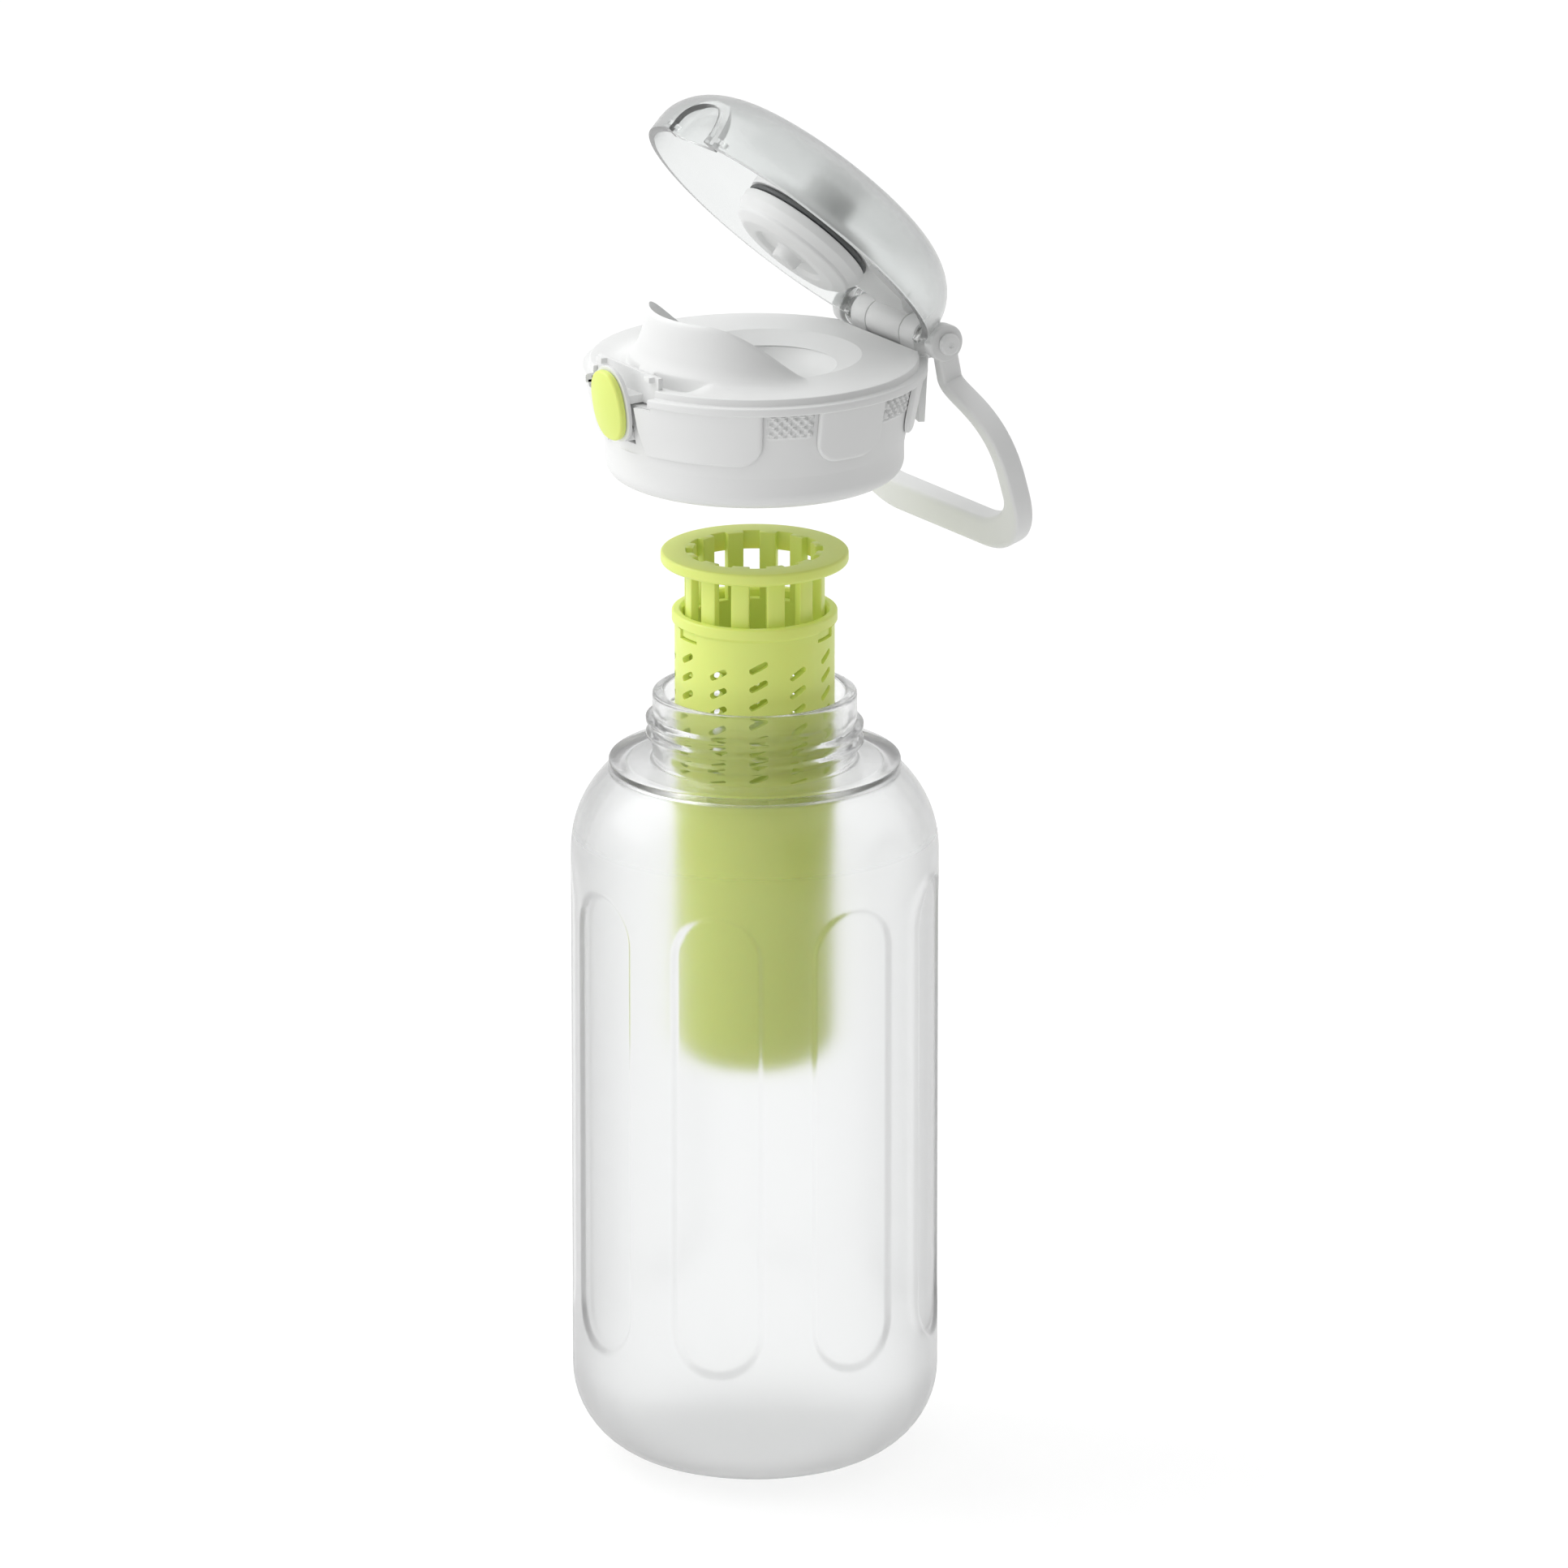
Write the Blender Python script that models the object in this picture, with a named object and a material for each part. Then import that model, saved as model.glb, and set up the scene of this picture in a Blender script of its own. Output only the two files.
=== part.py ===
"""Sports water bottle with a fruit infuser, shown taken apart along its axis.

Metres, +Z up.  The origin is the middle of the bottle's flat base, the front of the
lid (its push button) faces -Y and its hinge lies at +Y, along X.  The lid stands
LID_TURN_COUNT turns of its thread above its seat, the infuser is lifted INFUSER_LIFT out
of the neck, and the flip cap is open by CAP_OPEN_ANGLE.
"""
import math

import bmesh
import bpy
from mathutils import Matrix, Vector

MM = 0.001

# Shared by all pieces
FIT = 0.3 * MM               # gap left between two pieces that touch
OVERRUN = 6.0 * MM           # how far a cutter reaches past what it cuts
SINK = 0.4 * MM              # how far two shapes of one piece run into each other
SMOOTH_ANGLE = math.radians(32.0)
BODY_SEGMENTS = 48
LID_SEGMENTS = 54
SMALL_SEGMENTS = 18
PIN_SEGMENTS = 12

# Bottle body
BODY_RADIUS = 45.0 * MM
BODY_WALL = 2.6 * MM
FLOOR_THICKNESS = 4.0 * MM
BASE_FLAT_RADIUS = 23.0 * MM
BASE_ARC_STEPS = 5
SHOULDER_START = 154.0 * MM
SHOULDER_HEIGHT = 21.2 * MM
SHOULDER_RIM = 2.5 * MM
SHOULDER_RADIUS = 35.7 * MM
SHOULDER_LEAVE_SHARES = (0.41, 0.175)
SHOULDER_JOIN_SHARE = 0.52
SHOULDER_STEPS = 6
NECK_RADIUS = 25.0 * MM
NECK_WALL = 3.0 * MM
NECK_HEIGHT = 17.0 * MM
NECK_LIP = 0.6 * MM
THREAD_PROUD = 1.75 * MM     # room that the lid leaves for the neck's thread
THREAD_PITCH = 3.6 * MM

# Recessed flutes round the body
FLUTE_COUNT = 8
FLUTE_LOW = 32.5 * MM
FLUTE_LENGTH = 117.4 * MM
FLUTE_WIDTH = 22.4 * MM
FLUTE_DEPTH = 1.0 * MM
FLUTE_DRAFT = 0.9 * MM
FLUTE_HALF_STEPS = 3

# Infuser, measured from the underside of its flange
FLANGE_RADIUS = 22.9 * MM
FLANGE_THICKNESS = 3.0 * MM
FLANGE_ROUND = 0.6 * MM
SLEEVE_WALL = 2.15 * MM
SLEEVE_LENGTH = 24.0 * MM
SLEEVE_PLAY = 0.55 * MM      # between the sleeve and the tube's bore
SLEEVE_SEGMENTS = 48
WINDOW_COUNT = 12
WINDOW_WIDTH = 4.4 * MM
FLANGE_NOTCH_WIDTH = 4.0 * MM
WINDOW_TOP = 1.7 * MM
WINDOW_HEIGHT = 12.1 * MM
TUBE_RADIUS = 19.5 * MM
TUBE_WALL = 1.8 * MM
TUBE_LENGTH = 114.6 * MM
TUBE_LIP_DROP = 11.7 * MM    # from the flange down to the tube's lip
TUBE_BEAD = 0.7 * MM
TUBE_BEAD_HEIGHT = 3.4 * MM
TUBE_BOTTOM_ROUND = 8.0 * MM
TUBE_ARC_STEPS = 3
SNAP_COUNT = 3
SNAP_DROP = 4.1 * MM         # from the tube's lip to the middle of its snap windows
SNAP_WIDTH = 7.4 * MM
SNAP_HEIGHT = 3.0 * MM
SNAP_PLAY = 0.35 * MM
SLOT_COLUMN_COUNT = 12
SLOT_ROW_COUNT = 7
SLOT_LENGTH = 5.0 * MM
SLOT_HEIGHT = 1.3 * MM
SLOT_PITCH = 4.65 * MM
SLOT_DROP = 9.8 * MM         # from the tube's lip to the first slot
SLOT_SLANT = math.radians(28.0)

# Lid, measured from the deck, which is the lid's flat top face
LID_HEIGHT = 29.0 * MM
LID_TURN_COUNT = 20
BAND_DEPTH = 3.9 * MM
BAND_ROUND = 0.4 * MM
DECK_RADIUS = 39.9 * MM
BAND_PROUD = 2.1 * MM        # from the deck's edge out to the band
BAND_RADIUS = DECK_RADIUS + BAND_PROUD
DECK_ROUND = 0.6 * MM
LEDGE_DROP = 1.8 * MM
COVER_THICKNESS = 2.4 * MM
WALL_INSET = 2.0 * MM        # from the band in to the wall's top
WALL_TOP_RADIUS = BAND_RADIUS - WALL_INSET
WALL_DRAW = 3.7 * MM         # how much narrower the wall is at its foot
WALL_LOW_RADIUS = WALL_TOP_RADIUS - WALL_DRAW
WALL_TAPER_END = 21.0 * MM
BOTTOM_ROUND = 4.0 * MM
SOCKET_PLAY = 0.65 * MM
THREAD_SLEEVE_WALL = 2.8 * MM
GROOVE_WIDTH = 3.4 * MM
GROOVE_HEIGHT = 9.0 * MM
SOCKET_CHAMFER = 0.5 * MM
TAB_PROUD = 1.5 * MM
TAB_DEPTH = 17.4 * MM
TAB_CORNER = 6.0 * MM
TAB_SPANS = ((-60.0, 60.0), (80.0, 108.0), (129.0, 231.0), (252.0, 280.0))
TAB_EDGE_ANGLE = 0.3
COVER_STEP_ANGLE = 7.0
TAB_CORNER_SHARES = (0.15, 0.45, 1.0)
TAB_ROW_SHARES = (0.0, 0.5, 1.0)

# Mouth and drinking lip
MOUTH_OFFSET = 3.6 * MM      # the mouth's middle lies this far behind the axis
THROAT_RADIUS = 16.9 * MM
THROAT_RELIEF = 0.7 * MM
BOWL_DROP = 1.9 * MM
DISH_WALL_DROP = 5.0 * MM    # below the deck, where the dish starts to close in
DISH_SLOPE_RADIUS = 15.4 * MM
DISH_SLOPE_DROP = 6.9 * MM
DISH_FLOOR_RADIUS = 14.0 * MM
DISH_OUTER = 17.1 * MM
DISH_OUTER_CHAMFER = 0.6 * MM
DRINK_HOLE_RADIUS = 5.0 * MM
DRINK_HOLE_Y = -6.0 * MM
LIP_RADIUS = 23.0 * MM
LIP_REACH = 6.6 * MM
LIP_HEIGHT = 13.6 * MM
LIP_FULL_ANGLE = 25.0
LIP_END_ANGLE = 80.0
# share of the way from the throat to the crest, share of the lip's height
BOWL_SHARES = ((0.35, 0.0), (0.7, 0.04), (0.88, 0.34), (0.95, 0.8))
# share of the way from the crest to the deck's edge, share of the lip's height
SLOPE_SHARES = ((0.0, 1.0), (0.05, 0.93), (0.1, 0.66), (0.19, 0.36), (0.33, 0.13), (0.52, 0.02))
POCKET_DEPTH = 0.9 * MM
POCKET_ANGLE = 27.0
POCKET_HALF_ANGLE = 19.0
POCKET_WEIGHT_SHARES = (0.0, 0.0, 0.0, 0.35, 1.0, 0.4)

# Lid seal
SEAL_INNER = 21.0 * MM
SEAL_OUTER = 26.4 * MM
SEAL_THICKNESS = 2.0 * MM
SEAL_EDGE = 0.5 * MM

# Hinge, measured from the deck
HINGE_SETBACK = 1.5 * MM     # from the deck's edge back to the hinge axis
HINGE_Y = DECK_RADIUS + HINGE_SETBACK
HINGE_Z = 2.0 * MM
BARREL_RADIUS = 4.6 * MM
BARREL_HALF = 7.2 * MM
BARREL_END = 1.2 * MM
BARREL_CAVITY = 3.4 * MM
PIN_RADIUS = 1.5 * MM
KNUCKLE_LENGTH = 6.3 * MM
HINGE_PLAY = 0.4 * MM
EAR_LENGTH = 2.6 * MM
EAR_RADIUS = 4.4 * MM
EYE_PLAY = 1.6 * MM
EYE_LENGTH = 3.6 * MM
PIN_HEAD_RADIUS = 2.7 * MM
PIN_HEAD_LENGTH = 1.5 * MM
PIN_HEAD_ROUND = 0.7 * MM
REAR_NOTCH_HALF = 17.3 * MM
REAR_NOTCH_REACH = 6.0 * MM
REAR_NOTCH_Y = HINGE_Y - REAR_NOTCH_REACH
REAR_NOTCH_DEPTH = 4.0 * MM
BRACKET_ANGLE = math.radians(21.0)
BRACKET_GAP = 0.7 * MM       # between the lid's wall and the bracket, at the top
BRACKET_THICKNESS = 2.5 * MM
BRACKET_TAPER = 0.9 * MM
BRACKET_TOP = 1.9 * MM
BRACKET_DEPTH = 19.0 * MM
BRACKET_STEPS = 6
WEB_FRONT = 4.2 * MM         # from the hinge axis forward to the web under a knuckle
WEB_BACK = 0.8 * MM
SPRING_WIRE = 0.35 * MM
SPRING_RADIUS = 2.5 * MM
SPRING_TURN_COUNT = 6
SPRING_TURN_STEPS = 10
CAP_OPEN_ANGLE = math.radians(45.0)

# Flip cap, measured from the deck with the cap closed
CAP_WALL = 1.8 * MM
CAP_STRAIGHT_TOP = 2.5 * MM
CAP_EDGE_WIDTH = 18.0 * MM
CAP_FLAT_RADIUS = BAND_RADIUS - CAP_EDGE_WIDTH
CAP_EDGE_HEIGHT = 14.7 * MM
CAP_CROWN = 0.8 * MM
CAP_CROWN_SHARES = (0.25, 0.75)
CAP_ARC_STEPS = 6
ARCH_HALF = 7.7 * MM
ARCH_TOP = 8.5 * MM
ARCH_DEPTH = 3.1 * MM
ARCH_WALL = 1.5 * MM
ARCH_STEPS = 8
CAP_REAR_HALF = 14.1 * MM
CAP_REAR_TOP = 8.0 * MM
CAP_REAR_REACH = 8.4 * MM
CAP_REAR_Y = HINGE_Y - CAP_REAR_REACH
SCALLOP_RADIUS = 5.2 * MM
SCALLOP_END = 24.0 * MM
CATCH_X = 8.9 * MM
CATCH_WIDTH = 2.9 * MM
CATCH_INSET = 3.0 * MM       # from the deck's edge in to the catch's tip
CATCH_REACH = DECK_RADIUS - CATCH_INSET
CATCH_ROOT_INSET = 2.0 * MM
CATCH_ROOT = BAND_RADIUS - CATCH_ROOT_INSET
CATCH_LOW = 0.0
CATCH_HEIGHT = 1.2 * MM

# Plug and its carrier, measured from the deck with the cap closed
CARRIER_RADIUS = 17.6 * MM
CARRIER_LOW = 3.9 * MM
CARRIER_THICKNESS = 2.2 * MM
CARRIER_HUB_RADIUS = 6.5 * MM
ARM_HALF_WIDE = 12.0 * MM
ARM_HALF_NARROW = 6.9 * MM
ARM_START = 8.0 * MM
ARM_WIDE_END = 30.0 * MM
ARM_NARROW_START = 35.4 * MM
ARM_BARREL_SINK = 1.5 * MM
GASKET_INNER = 8.0 * MM
GASKET_OUTER = 17.3 * MM
GASKET_THICKNESS = 1.3 * MM
PLUG_RADIUS = 17.7 * MM
PLUG_TIP_RADIUS = 16.3 * MM
PLUG_SHOULDER = 0.4 * MM     # below the deck, where the plug starts to narrow
PLUG_CONE = 2.6 * MM
PLUG_SIDE = 3.6 * MM
PLUG_FACE = 5.2 * MM
PLUG_FACE_RADIUS = 13.5 * MM
PLUG_STEM_RADIUS = 4.0 * MM
PLUG_DISH_RADIUS = 9.0 * MM
PLUG_DISH_DEPTH = 1.1 * MM
NUB_RADIUS = 3.3 * MM
NUB_DROP = 7.2 * MM

# Carrying loop
LOOP_TILT = math.radians(16.0)
STRAP_THICKNESS = 4.7 * MM
STRAP_TOP_THICKNESS = 3.3 * MM
STRAP_DEPTH = 5.6 * MM
STRAP_CHAMFER = 0.6 * MM
LOOP_NECK_X = 18.9 * MM
LOOP_NECK_DROP = 12.5 * MM
LOOP_HALF_WIDTH = 36.8 * MM
LOOP_SHOULDER_DROP = 33.0 * MM
LOOP_LENGTH = 53.0 * MM
LOOP_CORNER = 12.0 * MM
LOOP_SWEEP_SHARES = (0.32, 0.22)
LOOP_SWEEP_STEPS = 7
LOOP_CORNER_STEPS = 4

# Latch, measured from the deck
LATCH_TOP = 3.7 * MM
LATCH_BOTTOM = 15.4 * MM
LATCH_FRONT = BAND_RADIUS + FIT   # how far out the bezel's front is at its top
LATCH_TILT = math.radians(8.7)
BEZEL_THICKNESS = 0.95 * MM
BEZEL_HALF_WIDTH = 7.1 * MM
BUTTON_HALF_WIDTH = 6.3 * MM
BUTTON_MARGIN = 0.7 * MM
BUTTON_THICKNESS = 1.7 * MM
BUTTON_DOME = 0.9 * MM
BUTTON_DOME_SHARES = ((0.62, 0.66, 0.75), (0.2, 0.22, 1.0))
PAD_POWER = 2.35
PAD_STEPS = 26
CHANNEL_HALF = 8.4 * MM
CHANNEL_PLAY = 1.6 * MM
CHANNEL_BOTTOM = 18.2 * MM
FRONT_NOTCH_HALF = 14.3 * MM
FRONT_NOTCH_REACH = 6.5 * MM
FRONT_NOTCH_Y = DECK_RADIUS - FRONT_NOTCH_REACH
FRONT_NOTCH_DEPTH = 5.0 * MM
PIVOT_INSET = 4.5 * MM
PIVOT_Y = DECK_RADIUS - PIVOT_INSET
PIVOT_DROP = 13.2 * MM
PIVOT_PIN_RADIUS = 0.95 * MM
PIVOT_PIN_HALF = 7.8 * MM
PIVOT_PLAY = 0.25 * MM
PIVOT_KNUCKLE_RADIUS = 1.9 * MM
PIVOT_KNUCKLE_HALF = 3.8 * MM
PIVOT_POCKET_PLAY = 0.5 * MM
LEVER_ARM_HALF = 1.5 * MM
LEVER_WEB_TOP = 2.5 * MM
LEVER_WEB_THICKNESS = 2.0 * MM
BEAM_HALF = 13.6 * MM
BEAM_INSET = 3.6 * MM        # from the deck's edge in to the beam's front
BEAM_THICKNESS = 1.2 * MM
BEAM_FRONT = DECK_RADIUS - BEAM_INSET
BEAM_BACK = BEAM_FRONT - BEAM_THICKNESS
BEAM_TOP = 2.8 * MM
TOOTH_X = ARCH_HALF + ARCH_WALL + FIT
TOOTH_WIDTH = 2.4 * MM
TOOTH_REACH = 1.6 * MM
TOOTH_FRONT = BEAM_FRONT + TOOTH_REACH
TOOTH_HEIGHT = 1.3 * MM
LATCH_SPRING_DROP = 8.1 * MM
LATCH_SPRING_HOLE = 2.2 * MM
LATCH_SPRING_DEPTH = 3.2 * MM
LATCH_SPRING_RADIUS = 1.6 * MM
LATCH_SPRING_WIRE = 0.25 * MM
LATCH_SPRING_TURN_COUNT = 3
LATCH_SPRING_PLAY = 0.55 * MM
LATCH_SPRING_TRAVEL = 0.5 * MM   # how far the bezel comes in at the spring

# Places that follow from the sizes above
SHOULDER_FACE = SHOULDER_START + SHOULDER_HEIGHT + SHOULDER_RIM
NECK_TOP = SHOULDER_FACE + NECK_HEIGHT
NECK_BORE = NECK_RADIUS - NECK_WALL
FLANGE_SEAT = NECK_TOP + FIT
DECK_SEAT = SHOULDER_FACE + FIT + LID_HEIGHT
LID_LIFT = THREAD_PITCH * LID_TURN_COUNT
INFUSER_LIFT = 32.3 * MM
DECK_REST = DECK_SEAT + LID_LIFT
FLANGE_REST = FLANGE_SEAT + INFUSER_LIFT
TUBE_BORE = TUBE_RADIUS - TUBE_WALL
SLEEVE_RADIUS = TUBE_BORE - SLEEVE_PLAY
SLEEVE_BORE = SLEEVE_RADIUS - SLEEVE_WALL
TUBE_TOP = -TUBE_LIP_DROP
TUBE_BOTTOM = TUBE_TOP - TUBE_LENGTH
SEAL_LOW = FLANGE_SEAT + FLANGE_THICKNESS + FIT - DECK_SEAT
CEILING = SEAL_LOW + SEAL_THICKNESS + FIT
COLLAR_TOP = -(COVER_THICKNESS + FIT)
DISH_LOW = SEAL_LOW
DISH_FLOOR = -(NUB_DROP + FIT)
SOCKET_RADIUS = NECK_RADIUS + THREAD_PROUD + SOCKET_PLAY
SLEEVE_OUTER = SOCKET_RADIUS + THREAD_SLEEVE_WALL
GROOVE_OUTER = SLEEVE_OUTER + GROOVE_WIDTH
PIN_BORE = PIN_RADIUS + FIT
KNUCKLE_START = BARREL_HALF + HINGE_PLAY
KNUCKLE_END = KNUCKLE_START + KNUCKLE_LENGTH
EAR_START = KNUCKLE_END + HINGE_PLAY
EAR_END = EAR_START + EAR_LENGTH
EYE_START = EAR_END + EYE_PLAY
EYE_END = EYE_START + EYE_LENGTH
CAP_RIM = FIT - LEDGE_DROP
CAP_TOP = CAP_STRAIGHT_TOP + CAP_EDGE_HEIGHT + CAP_CROWN
ARCH_FLOOR = BAND_RADIUS - ARCH_DEPTH
LATCH_LEAN = math.tan(LATCH_TILT)
PIVOT_BORE = PIVOT_PIN_RADIUS + PIVOT_PLAY


def material(name, colour, roughness, metallic=0.0, alpha=1.0):
    """A Principled material in a piece's own colour."""
    made = bpy.data.materials.new(name)
    made.use_nodes = True
    shader = made.node_tree.nodes["Principled BSDF"]
    shader.inputs["Base Color"].default_value = (*colour, 1.0)
    shader.inputs["Roughness"].default_value = roughness
    shader.inputs["Metallic"].default_value = metallic
    shader.inputs["Alpha"].default_value = alpha
    made.diffuse_color = (*colour, alpha)
    return made


def frame(name, place, parent=None, turn_x=0.0):
    """An empty that holds the pieces of one moving group."""
    holder = bpy.data.objects.new(name, None)
    bpy.context.scene.collection.objects.link(holder)
    holder.location = place
    holder.rotation_euler = (turn_x, 0.0, 0.0)
    holder.parent = parent
    return holder


def solid(name, points, faces, finish=None, parent=None):
    """A mesh object from points and faces, with its faces turned outwards."""
    mesh = bpy.data.meshes.new(name)
    mesh.from_pydata([tuple(p) for p in points], [], faces)
    work = bmesh.new()
    work.from_mesh(mesh)
    bmesh.ops.recalc_face_normals(work, faces=work.faces)
    work.to_mesh(mesh)
    work.free()
    mesh.shade_smooth()
    mesh.set_sharp_from_angle(angle=SMOOTH_ANGLE)
    made = bpy.data.objects.new(name, mesh)
    bpy.context.scene.collection.objects.link(made)
    made.parent = parent
    if finish:
        mesh.materials.append(finish)
    return made


def guide(made):
    """Marks a shape that only cuts or joins."""
    made.hide_render = True
    made.display_type = "WIRE"
    return made


def combine(target, other, operation):
    step = target.modifiers.new(other.name, "BOOLEAN")
    step.operation = operation
    step.solver = "EXACT"
    step.object = guide(other)


def cut(target, *cutters):
    for cutter in cutters:
        combine(target, cutter, "DIFFERENCE")


def join(target, *others):
    for other in others:
        combine(target, other, "UNION")


def strips(ring_count, size, closed):
    """Quads between following rings of equal size."""
    faces = []
    for i in range(ring_count if closed else ring_count - 1):
        low, high = i * size, (i + 1) % ring_count * size
        for j in range(size):
            k = (j + 1) % size
            faces.append((low + j, low + k, high + k, high + j))
    return faces


def lofted(name, rings, finish=None, parent=None, closed=True):
    """A skin over rings of points: closed on itself, or with a flat cap at each end."""
    size = len(rings[0])
    points = [p for ring in rings for p in ring]
    faces = strips(len(rings), size, closed)
    if not closed:
        faces.append(tuple(range(size)))
        faces.append(tuple(range(len(points) - size, len(points))))
    return solid(name, points, faces, finish, parent)


def circle(radius, z, angles, centre_y=0.0):
    """A ring of points; angles run from the front (-Y) towards +X."""
    return [
        Vector((radius * math.sin(a), centre_y - radius * math.cos(a), z))
        for a in angles
    ]


def full_turn(count):
    return [2.0 * math.pi * i / count for i in range(count)]


def turned(name, outline, segments, finish=None, parent=None, axis="Z", centre=None):
    """A solid of revolution.  An outline that starts and ends on the axis is open
    and closes at its poles, and any other outline is closed on itself."""
    place = Vector(centre or (0.0, 0.0, 0.0))
    has_poles = outline[0][0] == 0.0
    inner = outline[1:-1] if has_poles else outline
    points = []
    for radius, along in inner:
        for angle in full_turn(segments):
            side, up = radius * math.cos(angle), radius * math.sin(angle)
            spot = {"Z": (side, up, along), "X": (along, side, up), "Y": (side, along, up)}[axis]
            points.append(place + Vector(spot))
    faces = strips(len(inner), segments, not has_poles)
    if has_poles:
        last = (len(inner) - 1) * segments
        for along, start in ((outline[0][1], 0), (outline[-1][1], last)):
            spot = {"Z": (0, 0, along), "X": (along, 0, 0), "Y": (0, along, 0)}[axis]
            points.append(place + Vector(spot))
            pole = len(points) - 1
            faces += [
                (pole, start + j, start + (j + 1) % segments) for j in range(segments)
            ]
    return solid(name, points, faces, finish, parent)


def rod_x(name, radius, start, end, y, z, parent=None, segments=SMALL_SEGMENTS, finish=None):
    """A round bar along X."""
    outline = [(0.0, start), (radius, start), (radius, end), (0.0, end)]
    return turned(name, outline, segments, finish, parent, "X", (0.0, y, z))


def block(name, low, high, parent=None):
    """A box between two corners."""
    points = [(x, y, z) for x in (low[0], high[0]) for y in (low[1], high[1]) for z in (low[2], high[2])]
    faces = [(0, 1, 3, 2), (4, 6, 7, 5), (0, 4, 5, 1), (2, 3, 7, 6), (0, 2, 6, 4), (1, 5, 7, 3)]
    return solid(name, points, faces, parent=parent)


def prism_x(name, outline, start, end, parent=None):
    """A side outline of (y, z) points pulled along X."""
    rings = [[Vector((x, y, z)) for y, z in outline] for x in (start, end)]
    return lofted(name, rings, parent=parent, closed=False)


def bezier(p0, p1, p2, p3, steps):
    """Points of a cubic curve, both ends included."""
    found = []
    for i in range(steps + 1):
        t = i / steps
        s = 1.0 - t
        weights = (s * s * s, 3.0 * s * s * t, 3.0 * s * t * t, t * t * t)
        found.append(tuple(sum(w * p[k] for w, p in zip(weights, (p0, p1, p2, p3))) for k in (0, 1)))
    return found


def arc(centre, radii, start, end, steps):
    """Points of an elliptical arc, both ends included; angles in degrees."""
    found = []
    for i in range(steps + 1):
        a = math.radians(start + (end - start) * i / steps)
        found.append((centre[0] + radii[0] * math.cos(a), centre[1] + radii[1] * math.sin(a)))
    return found


def inset(curve, distance):
    """A curve moved inwards, along its own normals."""
    moved = []
    for i, (r, z) in enumerate(curve):
        before, after = curve[max(i - 1, 0)], curve[min(i + 1, len(curve) - 1)]
        run, rise = after[0] - before[0], after[1] - before[1]
        size = math.hypot(run, rise)
        moved.append((r - distance * rise / size, z + distance * run / size))
    return moved


def radial_blocks(name, angles, low_radius, high_radius, width, height, middles, parent, slant=0.0):
    """Boxes that stand across a round wall, one for each angle and height."""
    points, faces = [], []
    for angle, z in zip(angles, middles):
        out = Vector((math.cos(angle), math.sin(angle), 0.0))
        side = Vector((-math.sin(angle), math.cos(angle), 0.0))
        along = side * math.cos(slant) + Vector((0.0, 0.0, math.sin(slant)))
        up = Vector((0.0, 0.0, math.cos(slant))) - side * math.sin(slant)
        first = len(points)
        for radius in (low_radius, high_radius):
            for a, b in ((-0.5, -0.5), (0.5, -0.5), (0.5, 0.5), (-0.5, 0.5)):
                points.append(out * radius + along * width * a + up * height * b + Vector((0.0, 0.0, z)))
        faces += [(first, first + 1, first + 2, first + 3), (first + 4, first + 7, first + 6, first + 5)]
        faces += [
            (first + j, first + 4 + j, first + 4 + (j + 1) % 4, first + (j + 1) % 4)
            for j in range(4)
        ]
    return solid(name, points, faces, parent=parent)


def coil(name, radius, wire, start, end, turns, centre, axis, finish, parent):
    """A round spring: one unbroken tube along a helix."""
    count = turns * SPRING_TURN_STEPS + 1
    path = []
    for i in range(count):
        angle = 2.0 * math.pi * i / SPRING_TURN_STEPS
        along = start + (end - start) * i / (count - 1)
        a, b = radius * math.cos(angle), radius * math.sin(angle)
        path.append(Vector((along, a, b) if axis == "X" else (a, along, b)) + Vector(centre))
    curve = bpy.data.curves.new(name, "CURVE")
    curve.dimensions = "3D"
    curve.bevel_depth = wire
    curve.bevel_resolution = 1
    curve.use_fill_caps = True
    line = curve.splines.new("POLY")
    line.points.add(count - 1)
    for spot, p in zip(line.points, path):
        spot.co = (*p, 1.0)
    curve.materials.append(finish)
    made = bpy.data.objects.new(name, curve)
    bpy.context.scene.collection.objects.link(made)
    made.parent = parent
    apart = min(
        (path[i] - path[j]).length
        for i in range(count)
        for j in range(i + SPRING_TURN_STEPS // 2, count)
    )
    print(name, "least gap between turns, mm:", round((apart - 2.0 * wire) / MM, 2))
    return made


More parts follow.
